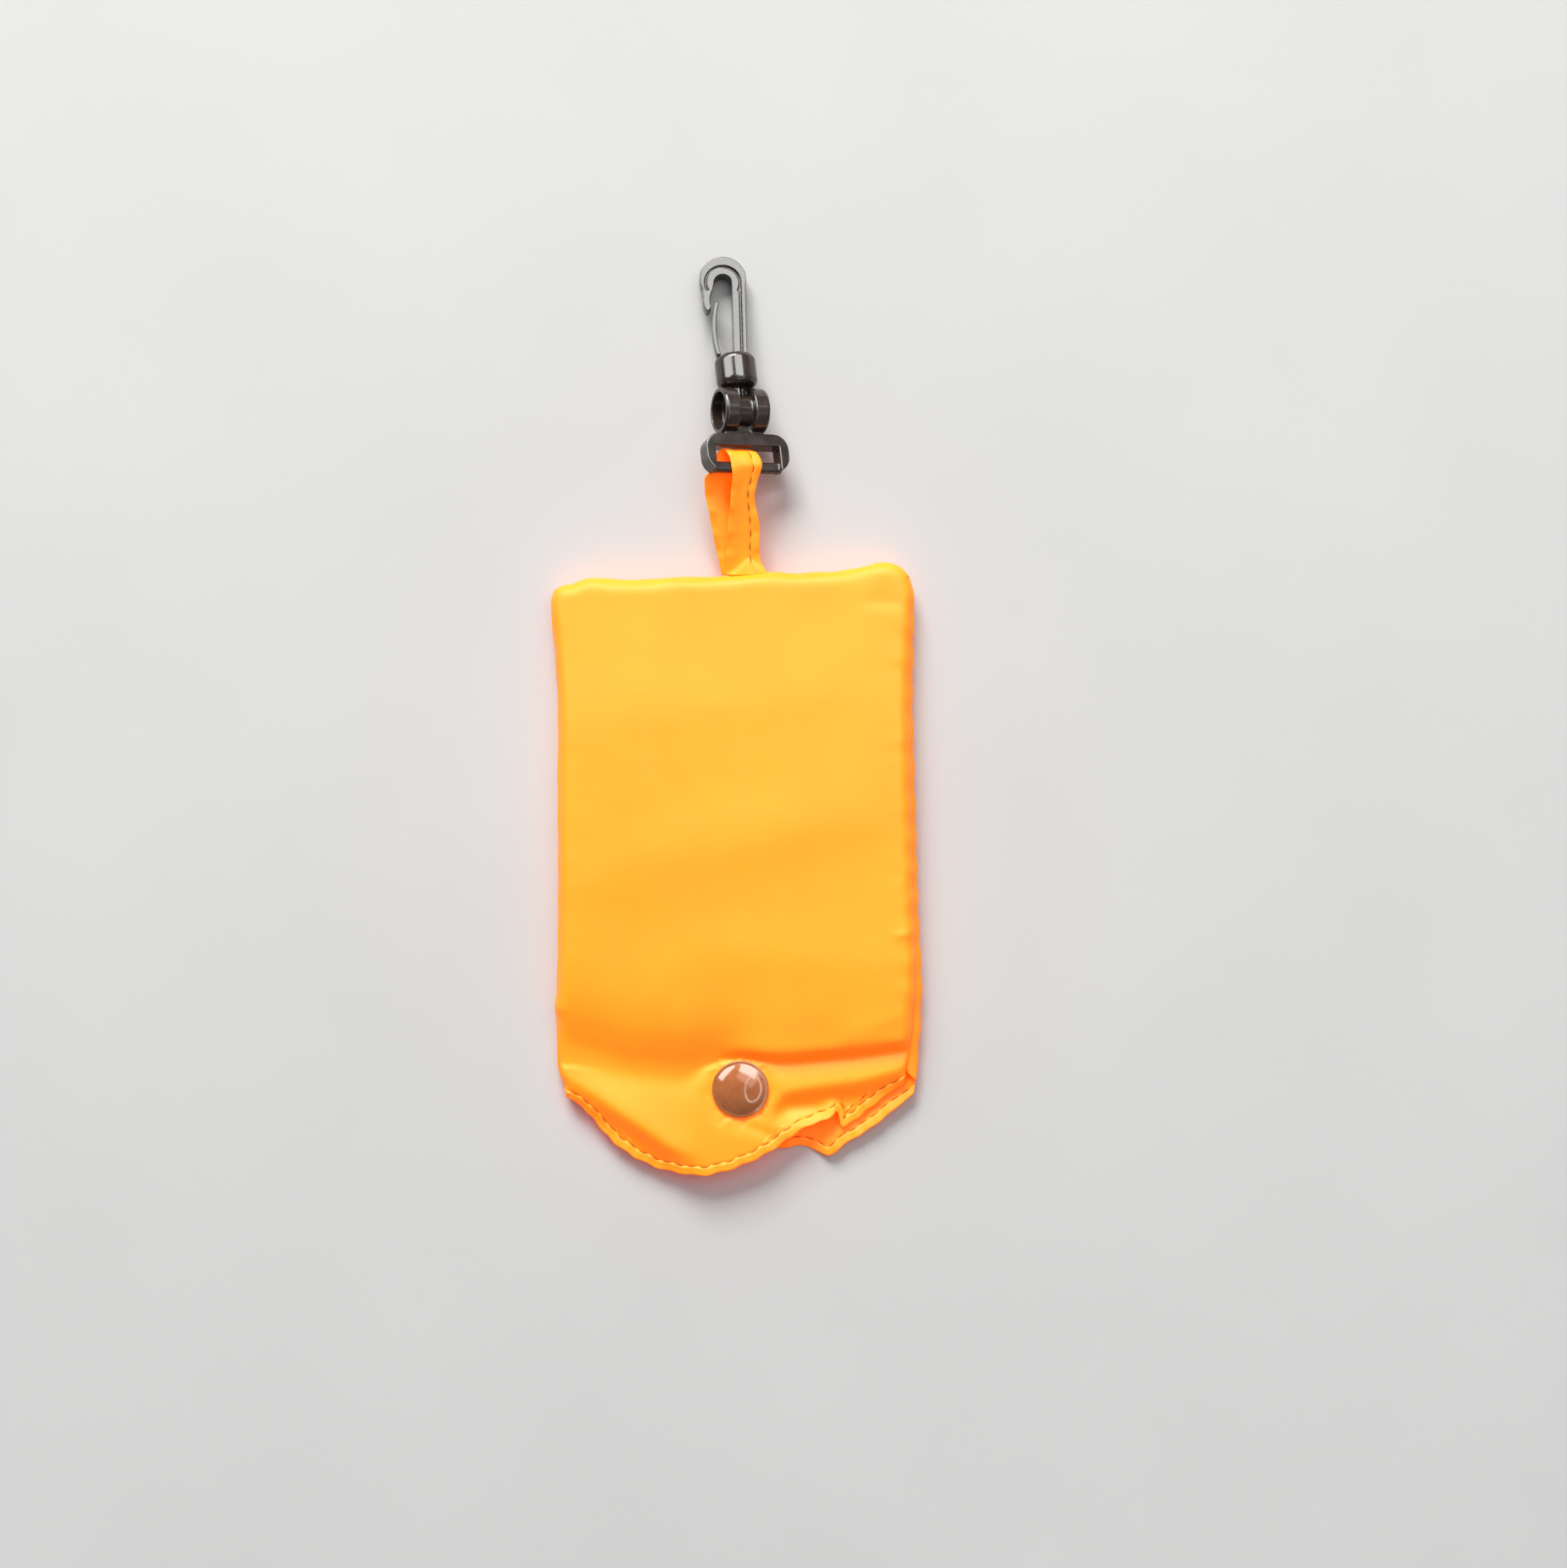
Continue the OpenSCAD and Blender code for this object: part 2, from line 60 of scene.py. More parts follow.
CLOTH = 0.2                 # thickness of one layer of cloth
GRID = 0.55                 # spacing of the cloth's mesh
WIDTH, LENGTH = 77.0, 108.0             # about the cloths' width, and length down to the hems
CREASE_Z = 4.4              # top of the cloth in the crease above the mouth
LIP_RISE = 1.55             # how far the front lip rises below the crease
END_DROP = 1.9              # how far the filled pouch falls to its closed end
SNAP = (0.0, -47.2)
SNAP_R = 6.2
LIP_Z = 5.5                 # top of the front lip round the snap
LEFT_FOLD_Z = 2.9           # the lip falls to this beyond the crest of its left fold
BACK_LIP_Z = 1.6            # top of the back lip round the snap
NOTCH_X = 20.3              # the front hem's raised notch
HEM = 2.2                   # depth of the turned hems
HEM_BEND = 0.26             # radius of the hems' turned edges
HEM_LAYER = 0.62            # how far a hem's turned layer lies under its upper face
HEM_ROWS = 3.0              # the hems' own rows of mesh begin this far inside
# The rows' distances inside the edge on top, their angles round the edge, and back underneath
HEM_TOP = (2.75, 2.5, 2.3, 2.15, 2.0, 1.85, 1.65, 1.35, 1.0, 0.65, 0.35, 0.15, 0.05)
HEM_TURN = (40, 80, 120, 160)
HEM_UNDER = (0.6, 1.2, 1.8, 2.2)
STITCH_LINE = 2.0           # the hems' stitches run this far inside their edges
STITCH = 2.1                # length of a stitch
STITCH_GAP = 0.75
SEAM_INSIDE, SEAM_BELOW = 0.9, 0.5      # the seams' stitches from the front cloth's edge
SEAM_END_Y = -38            # the side seams' stitches end here

# Edges seen from above, in order along each edge
LEFT_EDGE = [(-38.4, 62.6), (-39.1, 60.6), (-39.2, 57), (-38.6, 49.5), (-38.2, 40), (-38.2, 33),
             (-38.6, 20), (-38.8, 4), (-39.1, -8), (-39.4, -18), (-39.8, -25), (-40.3, -28.7),
             (-39.9, -31.5), (-40.0, -38), (-39.7, -43), (-38.9, -46.6)]
TOP_EDGE = [(-38.4, 62.6), (-36.6, 63.5), (-34.4, 63.8), (-31.4, 64.9), (-28.6, 65.0),
            (-25.5, 64.6), (-18, 64.4), (-13, 64.8), (-7, 64.7), (0, 64.9), (8.6, 65.4),
            (14, 65.1), (20, 65.2), (25.5, 65.5), (30.5, 66.5), (34.2, 67.0), (37.2, 66.0),
            (39.2, 63.8)]
RIGHT_EDGE = [(39.2, 63.8), (40.0, 60.5), (40.0, 57), (39.7, 50), (39.5, 43), (39.3, 38.5),
              (39.3, 25), (39.4, 11), (39.5, -2), (39.6, -12), (39.9, -20), (40.0, -26),
              (39.6, -33), (39.3, -37), (38.9, -41), (38.5, -45.5)]
FRONT_HEM = [(-38.3, -48.7), (-35.9, -49.8), (-33, -53), (-28.5, -58.4), (-23.8, -62),
             (-18.5, -64.6), (-13, -65.7), (-8.5, -66), (-3.5, -65.1), (2.6, -62.9), (8, -60),
             (12.5, -56.9), (16, -55.3), (18.6, -54.6), (20.0, -53.6), (20.9, -52.9),
             (21.6, -54.9), (22.4, -56.5), (25.5, -54.7), (31, -50.4), (35.6, -47.2)]
BACK_HEM = [(-37.9, -49.2), (-33.5, -52.6), (-28, -57), (-20, -60), (-8, -61.4), (6.5, -61.2),
            (12.8, -60.8), (16.2, -61.7), (19.1, -63), (22.6, -60.4), (28.3, -57),
            (33.1, -53.4), (38.0, -49.5)]
LEFT_STEP, TOP_STEP = 0.25, 0.15        # how far the seams are inside the left and top edges
# How far the back cloth shows past the seam on the right, at distances along Y
RIGHT_FLANGE = [(-50, 1.9), (-40, 1.9), (-30, 1.5), (-15, 1.0), (0, 0.8), (30, 0.7), (50, 0.5),
                (64, 0.3)]

# Crease above the mouth, and how the front falls to it on the left and on the right
CREASE = [(-41, -41.2), (-36, -41.8), (-28, -43.0), (-20, -44.4), (-13, -44.9), (-9.5, -43.7),
          (-6.5, -42.2), (-3, -41.3), (0, -41.0), (4, -41.5), (8, -41.9), (14, -41.7),
          (22.5, -41.1), (30, -40.4), (34, -39.9), (40, -39.4)]
SLOPE_LEFT = [(0, 4.4), (2, 5.1), (5, 6.35), (9, 7.65), (14, 8.5), (20, 8.9), (28, 9.1), (36, 9.2)]
SLOPE_RIGHT = [(0, 4.4), (0.9, 5.5), (2, 6.9), (3.4, 7.5), (6, 7.8), (12, 8.45), (20, 8.85),
               (28, 9.1), (36, 9.2)]
# Crest of the left fold of the front lip, and top of the fold on its right
LEFT_CREST = [(-39.5, -43.6), (-35, -46.6), (-31.5, -48.9), (-25.7, -53), (-19.9, -57.1),
              (-15.8, -60.1), (-11, -62.2), (-5, -63.8)]
RIGHT_CREST = [(5.5, -49.2), (9, -47.9), (13, -47.2), (19.5, -46.4), (26, -45.6), (33, -43.9),
               (38, -42)]
RIGHT_VALLEY = [(6.5, -51.2), (10, -51.0), (14, -51.3), (18.9, -51.9), (24, -53.5)]

CAP_CREASES = [(41, 0.3, 2.6), (-52, 0.3, 4.2), (-84, 0.4, 3.2), (-117, 0.4, 3.4)]


# ---- curves and blends ----

def smooth(a, b, v):
    """0 up to a, 1 from b on, and an easy rise or fall between them."""
    t = np.clip((v - a) / (b - a), 0, 1)
    return t * t * (3 - 2 * t)


def bell(v, width):
    """1 at 0, and nearly 0 at two widths."""
    return np.exp(-(v / width) ** 2)


def spline(points, step=0.25):
    """Smooth curve through given points, with a point about every step."""
    p = np.array(points, float)
    p = np.vstack([2 * p[0] - p[1], p, 2 * p[-1] - p[-2]])
    out = []
    for a, b, c, d in zip(p, p[1:], p[2:], p[3:]):
        n = max(2, int(np.linalg.norm(c - b) / step))
        t = np.arange(n)[:, None] / n
        out.append(0.5 * (2 * b + (c - a) * t + (2 * a - 5 * b + 4 * c - d) * t ** 2
                          + (3 * b - a - 3 * c + d) * t ** 3))
    return np.vstack(out + [p[-2:-1]])


def runs(curve):
    """Distances along a curve, from its start to each point."""
    return np.concatenate([[0], np.cumsum(np.linalg.norm(np.diff(curve, axis=0), axis=1))])


def along(curve, shares):
    """Points at shares of a curve's length."""
    run = runs(curve)
    at = np.asarray(shares) * run[-1]
    return np.column_stack([np.interp(at, run, curve[:, k]) for k in range(curve.shape[1])])


def across(curve, shares):
    """Points of a curve at shares of its extent in X."""
    x = np.maximum.accumulate(curve[:, 0])
    at = x[0] + np.asarray(shares) * (x[-1] - x[0])
    return np.column_stack([at] + [np.interp(at, x, curve[:, k])
                                   for k in range(1, curve.shape[1])])


def profile(points, v):
    """Value at v of a smooth curve through (v, value) points."""
    c = spline(points, 0.2)
    return np.interp(v, np.maximum.accumulate(c[:, 0]), c[:, 1])


def nearest(curve, x, y):
    """Index of the curve's nearest point, and the distance from the curve, more than 0 on its right."""
    flat = np.column_stack([np.ravel(x), np.ravel(y)])
    index = np.zeros(len(flat), int)
    for i in range(0, len(flat), 4000):
        part = flat[i:i + 4000]
        d2 = ((part[:, None, :] - curve[None, :, :2]) ** 2).sum(2)
        index[i:i + 4000] = d2.argmin(1)
    tangent = np.gradient(curve[:, :2], axis=0)[index]
    off = flat - curve[index, :2]
    share = (off * tangent).sum(1) / (tangent ** 2).sum(1)
    off -= tangent * np.clip(share, -0.5, 0.5)[:, None]
    distance = np.linalg.norm(off, axis=1)
    side = np.sign(tangent[:, 1] * off[:, 0] - tangent[:, 0] * off[:, 1])
    shape = np.shape(x)
    return index.reshape(shape), (distance * side).reshape(shape)


def eased(values, reach):
    """Running average of values over that many neighbours on each side."""
    kernel = np.hanning(2 * reach + 1) / np.hanning(2 * reach + 1).sum()
    return np.convolve(np.pad(values, reach, mode="edge"), kernel, mode="valid")


def perlin(x, y, size, seed):
    """Soft noise from -1 to 1 with features of that size."""
    flat = np.column_stack([np.ravel(x), np.ravel(y)]) / size
    value = [noise.noise(Vector((a, b, seed))) for a, b in flat]
    return np.array(value).reshape(np.shape(x))


# ---- outlines of the two cloths ----

def normals(curve):
    """Unit directions to the right of a curve's run."""
    tangent = np.gradient(curve, axis=0)
    normal = np.column_stack([tangent[:, 1], -tangent[:, 0]])
    return normal / np.linalg.norm(normal, axis=1)[:, None]


def wavy(edge, amount, period, phase):
    """An edge with a slight wave across its run."""
    run = runs(edge)
    fade = smooth(0, 8, run) * smooth(0, 8, run[-1] - run)
    wave = np.sin(2 * np.pi * run / period + phase + 1.3 * np.sin(run / 11)) * amount * fade
    return edge + normals(edge) * wave[:, None]


FRONT_HEM_LINE = wavy(spline(FRONT_HEM), 0.16, 5.1, 0.5)
BACK_HEM_LINE = wavy(spline(BACK_HEM), 0.1, 6.3, 1.9)


def inward(hem, left_end, right_end):
    """Unit directions from a hem into the cloth, which turn to the side edges at both ends."""
    run = runs(hem)
    weight = bell(run[:, None] - run[None, :], 3.0)
    normal = -weight @ normals(hem)
    normal /= np.linalg.norm(normal, axis=1)[:, None]
    for at, end in ((run, left_end), (run[-1] - run, right_end)):
        share = (1 - smooth(0, 9, at))[:, None]
        normal = normal * (1 - share) + np.array(end) * share
    return normal / np.linalg.norm(normal, axis=1)[:, None]


FRONT_IN = inward(FRONT_HEM_LINE, (-0.2, 0.98), (0.22, 0.975))
BACK_IN = inward(BACK_HEM_LINE, (-0.2, 0.98), (0.1, 0.995))


def side_curves(hem_line, hem_in, right_points, seam):
    """Left, top and right edges of a cloth, down to where its hem's own rows begin."""
    left_end = hem_line[0] + hem_in[0] * HEM_ROWS
    right_end = hem_line[-1] + hem_in[-1] * HEM_ROWS
    left = spline([p for p in LEFT_EDGE if p[1] > left_end[1] + 1] + [tuple(left_end)])
    top = spline(TOP_EDGE)
    right = spline([p for p in right_points if p[1] > right_end[1] + 1] + [tuple(right_end)])
    if seam:
        return left + (LEFT_STEP, 0), top - (0, TOP_STEP), wavy(right, 0.12, 7.3, 0.4)
    return wavy(left, 0.06, 9.5, 1.0), wavy(top, 0.12, 8.3, 0.2), wavy(right, 0.14, 7.3, 0.9)


RIGHT_SEAM = [(x - float(profile(RIGHT_FLANGE, y)), y) for x, y in RIGHT_EDGE]
FRONT_SIDES = side_curves(FRONT_HEM_LINE, FRONT_IN, RIGHT_SEAM, True)
BACK_SIDES = side_curves(BACK_HEM_LINE, BACK_IN, RIGHT_EDGE, False)


# ---- heights of the cloths ----

MAIN_RIDGES = [  # ends, height, width above, width below
    ((-38, -1), (38, 14), 0.5, 9.0, 7.0),
    ((-38, 33), (30, 40), 0.3, 9.0, 6.0),
    ((-10, -17), (38, -21), 0.3, 6.0, 6.0),
    ((34, -14.4), (41, -13.6), 0.3, 1.0, 0.8),
    ((22, -36.2), (38, -31), 0.3, 3.0, 2.5),
    ((29, 58.4), (39.5, 57.8), -0.22, 2.6, 1.4),
]


def ridge(x, y, a, b, height, above, below):
    """Soft fold along the line from a to b, with its own width on each side."""
    a, b = np.array(a, float), np.array(b, float)
    d = (b - a) / np.linalg.norm(b - a)
    t = ((x - a[0]) * d[0] + (y - a[1]) * d[1]) / np.linalg.norm(b - a)
    off = -(x - a[0]) * d[1] + (y - a[1]) * d[0]
    ends = smooth(-0.15, 0.25, t) * (1 - smooth(0.75, 1.15, t))
    return height * bell(off, np.where(off > 0, above, below)) * ends


def slope_height(x, y, above):
    """Top of the filled front, at distances above the crease."""
    right = smooth(-8, 6, x)
    z = profile(SLOPE_LEFT, above) * (1 - right) + profile(SLOPE_RIGHT, above) * right
    far = smooth(12, 36, above)
    z = z - 0.35 * far * (x / 40) ** 2 + far * 0.16 * perlin(x, y, 19, 3.1)
    z = z - END_DROP * smooth(22, 66, y)
    return z + sum(ridge(x, y, *r) for r in MAIN_RIDGES)


def lip_height(x, y, below):
    """Top of the front lip, at distances below the crease."""
    z = CREASE_Z + LIP_RISE * (1 - np.exp(-below / 4.5))
    z = z - 0.35 * smooth(-57, -66, y) * smooth(-30, -5, x)
    # Left fold: a crest, and a fall to the side beyond it
    crest = spline(LEFT_CREST)
    k, out = nearest(crest, x, y)
    fade = (1 - smooth(-17, -6, crest[k, 0])) * smooth(-42, -39, x)
    z = z + fade * 0.5 * bell(out + 1.0, 3.5)
    z = z - (z - LEFT_FOLD_Z) * fade * smooth(-1.4, 5.0, out)
    # Right fold: a fall beyond its crest, and a rise again beyond its valley
    _, out = nearest(spline(RIGHT_CREST), x, y)
    from_cap = smooth(5.0, 11, x)
    falls = smooth(-0.4, 5.2, out) * 2.9 + smooth(4.5, 10, out) * 0.4 * smooth(20, 26, x)
    _, south = nearest(spline(RIGHT_VALLEY), x, y)
    rises = smooth(-0.3, 5.5, south) * 2.1 * (1 - smooth(18.5, 21.0, x))
    z = z + from_cap * (rises - falls)
    # Raised notch in the hem, and a slight dent under the snap
    z = z + 1.5 * bell(x - NOTCH_X, np.where(x < NOTCH_X, 2.2, 0.7)) * smooth(-49.5, -52.5, y)
    return z - 0.45 * bell((x - 3.5) * 0.6 + (y + 56), 1.6) * bell(x - 4, 5)


def at_snap(x, y):
    """Distance from the snap's axis."""
    return np.hypot(x - SNAP[0], y - SNAP[1])


def front_height(x, y):
    """Top of the front cloth, before its edges turn down to the seams."""
    above = y - profile(CREASE, x)
    ease = 0.15 + 2.4 * smooth(-4, -16, x) + 3.0 * smooth(-24, -38, x)
    away = np.hypot(above, ease) - ease
    slope = slope_height(x, y, away)
    lip = lip_height(x, y, away)
    r = at_snap(x, y)
    flat = 1 - smooth(SNAP_R - 0.2, SNAP_R + 4.5, r)
    lip = lip * (1 - flat) + LIP_Z * flat
    z = np.where(above > 0, slope, lip)
    # Gathers and short creases round the snap
    angle = np.arctan2(y - SNAP[1], x - SNAP[0])
    gathers = 0.045 * np.sin(9 * angle + 0.8 * np.sin(2 * angle))
    near = smooth(SNAP_R - 0.2, SNAP_R + 0.8, r) * bell(r - SNAP_R - 1.2, 2.2)
    for degrees, depth, length in CAP_CREASES:
        off = r * np.sin(angle - math.radians(degrees)) + 0.12 * (r - SNAP_R) ** 2
        ahead = np.cos(angle - math.radians(degrees)) > 0
        fade = smooth(SNAP_R - 0.6, SNAP_R + 0.4, r) * (1 - smooth(0.4, 1, (r - SNAP_R) / length))
        z = z - depth * ahead * fade * (bell(off, 0.42) - 0.35 * bell(off - 1.1, 0.8))
    return z + gathers * near - 0.25 * bell(r - SNAP_R - 0.35, 0.5)


# How wide the front's edges roll, and how high they start at the seams, at distances along each
EDGE_ROLL = {"left": 4.6, "top": 3.6, "right": 4.0}
MOUTH_ROLL, BACK_ROLL = 1.6, 3.0
FRONT_EDGE_Z = {
    "left": [(-50, 1.9), (-44, 2.3), (-36, 2.9), (-20, 3.2), (10, 3.3), (60, 3.5)],
    "top": [(-40, 3.5), (-10, 3.6), (10, 3.7), (42, 4.2)],
    "right": [(-50, 2.6), (-44, 3.2), (-36, 3.9), (-20, 4.3), (10, 4.4), (60, 4.3)],
}


def edge_facts(sides):
    """One line round the seams, with the height and roll of the front cloth at each point."""
    left, top, right = sides
    line = np.vstack([left[::-1], top[1:], right[1:]])
    z = np.concatenate([profile(FRONT_EDGE_Z["left"], left[::-1, 1]),
                        profile(FRONT_EDGE_Z["top"], top[1:, 0]),
                        profile(FRONT_EDGE_Z["right"], right[1:, 1])])
    roll = np.concatenate([np.full(len(left), EDGE_ROLL["left"]),
                           np.full(len(top) - 1, EDGE_ROLL["top"]),
                           np.full(len(right) - 1, EDGE_ROLL["right"])])
    near_mouth = smooth(-36, -45, line[:, 1])
    roll = roll * (1 - near_mouth) + MOUTH_ROLL * near_mouth
    return line, eased(z, 20), eased(roll, 20)


FRONT_LINE, FRONT_LINE_Z, FRONT_LINE_ROLL = edge_facts(FRONT_SIDES)


def rounded(q, power=3.0, root=2.2):
    """0 at an edge and 1 a roll's width inside, upright at first and level at the end."""
    return (1 - (1 - np.clip(q, 0, 1)) ** power) ** (1 / root)


def front_surface(x, y):
    """Height of the front cloth's upper face."""
    k, inside = nearest(FRONT_LINE, x, y)
    edge_z, roll = FRONT_LINE_Z[k], FRONT_LINE_ROLL[k]
    z = front_height(x, y)
    gather = perlin(x * 0.25, y, 3.1, 4.4) * bell(inside - 2.0, 1.8)
    z = z + 0.13 * gather * smooth(20, 34, x) + 0.09 * perlin(x, y, 4.2, 8.3) * bell(inside - 3, 3)
    return edge_z + (z - edge_z) * rounded(inside / roll)


def back_height(x, y):
    """Upper face of the back cloth over the surface that it lies on."""
    z = 0.45 + 0.12 * perlin(x, y, 14, 5.5)
    lip = smooth(-36, -42, y)
    r = at_snap(x, y)
    z = z + lip * (BACK_LIP_Z - z) * (1 - smooth(SNAP_R, SNAP_R + 5, r))
    _, beyond = nearest(FRONT_HEM_LINE, x, y)
    z = z + lip * smooth(14, 26, x) * (1.1 + 0.25 * np.clip(beyond, 0, 4))
    z = z + lip * 0.5 * ridge(x, y, (19, -64), (24, -52), 1, 1.5, 2.5)
    z = z + lip * 0.7 * ridge(x, y, (9, -64), (12.5, -52), 1.0, 2.0, 1.2)
    z = z + lip * 0.25 * perlin(x, y, 4.5, 2.2) * smooth(SNAP_R, SNAP_R + 4, r)
    return np.maximum(z, 0.3)


def outer_z(x, y):
    """Height of the back cloth's widest line."""
    mouth = smooth(-36, -48, y)
    return 2.5 + 0.5 * smooth(0, 40, x) - mouth * (1.1 - 1.0 * smooth(20, 39, x))


BACK_LINE = np.vstack([BACK_SIDES[0][::-1], BACK_SIDES[1][1:], BACK_SIDES[2][1:]])


def back_surface(x, y):
    """Height of the back cloth's inner face."""
    _, inside = nearest(BACK_LINE, x, y)
    top = outer_z(x, y)
    inner = back_height(x, y)
    return top + (inner - top) * rounded(np.abs(inside) / BACK_ROLL, 2.0, 2.0)


# ---- meshes ----

def link(made):
    """Puts an object in the scene."""
    bpy.context.scene.collection.objects.link(made)


def new_piece(name, points, faces, smooth_shading=True):
    """A mesh object in metres from points in millimetres."""
    mesh = bpy.data.meshes.new(name)
    mesh.from_pydata((np.asarray(points) * MM).tolist(), [], [tuple(map(int, f)) for f in faces])
    mesh.validate()
    if smooth_shading:
        mesh.shade_smooth()
    piece = bpy.data.objects.new(name, mesh)
    link(piece)
    return piece


def grid_faces(rows, cols, start=0, closed=False):
    """Four-sided faces between rows of points, whose rows may close on themselves."""
    faces = []
    for j in range(rows - 1):
        for i in range(cols if closed else cols - 1):
            a, b = start + j * cols + i, start + j * cols + (i + 1) % cols
            faces.append((a, a + cols, b + cols, b))
    return faces


def shares(length, first, last, spacing=GRID):
    """Shares of a length that crowd towards rounded edges, whose rolls are first and last wide."""
    turn = 1 - np.cos(np.linspace(0, np.pi / 2, 11))
    start = turn * first if first else np.array([0.0])
    end = length - turn[::-1] * last if last else np.array([length])
    n = int((end[0] - start[-1]) / spacing)
    middle = np.linspace(start[-1], end[0], n + 1)[1:-1]
    return np.concatenate([start, middle, end]) / length


def coons(top, bottom, left, right, s, t):
    """Grid of points between four edges."""
    upper, lower = across(top, s), across(bottom, s)
    lefts, rights = along(left, t), along(right, t)
    u, v = s[None, :, None], t[:, None, None]
    return ((1 - v) * upper[None] + v * lower[None] + (1 - u) * lefts[:, None]
            + u * rights[:, None] - (1 - u) * (1 - v) * upper[0] - u * (1 - v) * upper[-1]
            - (1 - u) * v * lower[0] - u * v * lower[-1])


def hem_bump(inside):
    """Extra height of a turned hem at distances inside its edge."""
    edge = np.clip(inside / 0.35, 0, 1)
    return 0.3 * (1 - smooth(HEM - 0.5, HEM, inside)) - 0.25 * (1 - edge) ** 2


def hem_ripple(run, inside):
    """Small waves that the stitches pull into a hem's edge."""
    wave = np.sin(2 * np.pi * run / (STITCH + STITCH_GAP)) + 0.6 * np.sin(run / 2.3 + 1)
    return 0.08 * wave * bell(inside - 0.7, 1.3)


def cloth_grid(sides, hem, hem_in, surface, first, last, top_roll):
    """Points of a cloth with a hem turned under, as (rows, columns, 3)."""
    left, top, right = sides
    inner = hem + hem_in * HEM_ROWS
    s = shares(WIDTH, first, last)
    t = shares(LENGTH, top_roll, 0)
    body = coons(top, inner, left, right, s, t)
    z = surface(body[..., 0], body[..., 1])
    body = np.concatenate([body, z[..., None]], axis=2)
    edge = across(np.column_stack([hem, hem_in, runs(hem)]), s)
    at, inwards, run = edge[:, :2], edge[:, 2:4], edge[:, 4]
    rows = []
    for inside in HEM_TOP:
        p = at + inwards * inside
        height = surface(p[:, 0], p[:, 1]) + hem_bump(inside) + hem_ripple(run, inside)
        height -= 0.17 * bell(inside - STITCH_LINE, 0.2)
        rows.append(np.column_stack([p, height]))
    edge_z = rows[-1][:, 2]
    for angle in HEM_TURN:
        a = math.radians(angle)
        p = at + inwards * (HEM_BEND - HEM_BEND * math.sin(a))
        rows.append(np.column_stack([p, edge_z - HEM_BEND * (1 - math.cos(a))]))
    for inside in HEM_UNDER:
        p = at + inwards * inside
        height = surface(p[:, 0], p[:, 1]) + hem_bump(1.0) + hem_ripple(run, inside)
        rows.append(np.column_stack([p, height - HEM_LAYER]))
    return np.concatenate([body, np.array(rows)], axis=0)


def thicken(piece, thickness, offset=-1.0):
    """Gives a surface its thickness: under its upper face, or on both sides at offset 0."""
    solid = piece.modifiers.new("layer", "SOLIDIFY")
    solid.thickness = thickness * MM
    solid.offset = offset
    solid.use_even_offset = False


def lathe(name, outline, centre, steps=96):
    """Solid of revolution about Z through centre, from (radius, z) points."""
    angle = np.arange(steps) * 2 * np.pi / steps
    rings = [np.column_stack([centre[0] + r * np.cos(angle), centre[1] + r * np.sin(angle),
                              np.full(steps, z)]) for r, z in outline]
    points = np.concatenate(rings)
    faces = [f[::-1] for f in grid_faces(len(rings), steps, closed=True)]
    for ring, way in ((0, -1), (len(rings) - 1, 1)):
        faces.append([ring * steps + i for i in range(steps)][::way])
    return new_piece(name, points, faces)


def arc(cx, cz, r, a0, a1, n=6):
    """(radius, z) points along an arc, angles in degrees."""
    return [(cx + r * math.cos(math.radians(a0 + (a1 - a0) * k / n)),
             cz + r * math.sin(math.radians(a0 + (a1 - a0) * k / n))) for k in range(n + 1)]


# ---- materials ----

def shader_tree(name, roughness, **sockets):
    """A material with its tree, shader and object coordinates, and values for its sockets."""
    mat = bpy.data.materials.new(name)
    mat.use_nodes = True
    tree = mat.node_tree
    bsdf = tree.nodes["Principled BSDF"]
    bsdf.inputs["Roughness"].default_value = roughness
    for socket, value in sockets.items():
        bsdf.inputs[socket.replace("_", " ")].default_value = value
    coords = tree.nodes.new("ShaderNodeTexCoord")
    return mat, tree, bsdf, coords.outputs["Object"]


def noise_node(tree, coords, size, detail=3.0, stretch=(1, 1, 1)):
    """Noise with features of that size in millimetres."""
    mapping = tree.nodes.new("ShaderNodeMapping")
    mapping.inputs["Scale"].default_value = [1 / (size * MM * s) for s in stretch]
    node = tree.nodes.new("ShaderNodeTexNoise")
    node.inputs["Scale"].default_value = 1.0
    node.inputs["Detail"].default_value = detail
    tree.links.new(coords, mapping.inputs["Vector"])
    tree.links.new(mapping.outputs["Vector"], node.inputs["Vector"])
    return node.outputs["Fac"]


def tint(tree, bsdf, factor, low, high, a, b):
    """Base colour that goes from a to b as the factor goes from low to high."""
    node = tree.nodes.new("ShaderNodeValToRGB")
    node.color_ramp.elements[0].position, node.color_ramp.elements[0].color = low, a
    node.color_ramp.elements[1].position, node.color_ramp.elements[1].color = high, b
    tree.links.new(factor, node.inputs["Fac"])
    tree.links.new(node.outputs["Color"], bsdf.inputs["Base Color"])


def gloss(tree, bsdf, factor, low, high):
    """Roughness that goes from low to high as the factor goes from 0 to 1."""
    node = tree.nodes.new("ShaderNodeMapRange")
    node.inputs["To Min"].default_value, node.inputs["To Max"].default_value = low, high
    tree.links.new(factor, node.inputs["Value"])
    tree.links.new(node.outputs["Result"], bsdf.inputs["Roughness"])


def bump_chain(tree, bsdf, layers):
    """Bump from (height, strength, distance in millimetres) layers, one over another."""
    below = None
    for height, strength, distance in layers:
        node = tree.nodes.new("ShaderNodeBump")
        node.inputs["Strength"].default_value = strength
        node.inputs["Distance"].default_value = distance * MM
        tree.links.new(height, node.inputs["Height"])
        if below is not None:
            tree.links.new(below, node.inputs["Normal"])
        below = node.outputs["Normal"]
    tree.links.new(below, bsdf.inputs["Normal"])


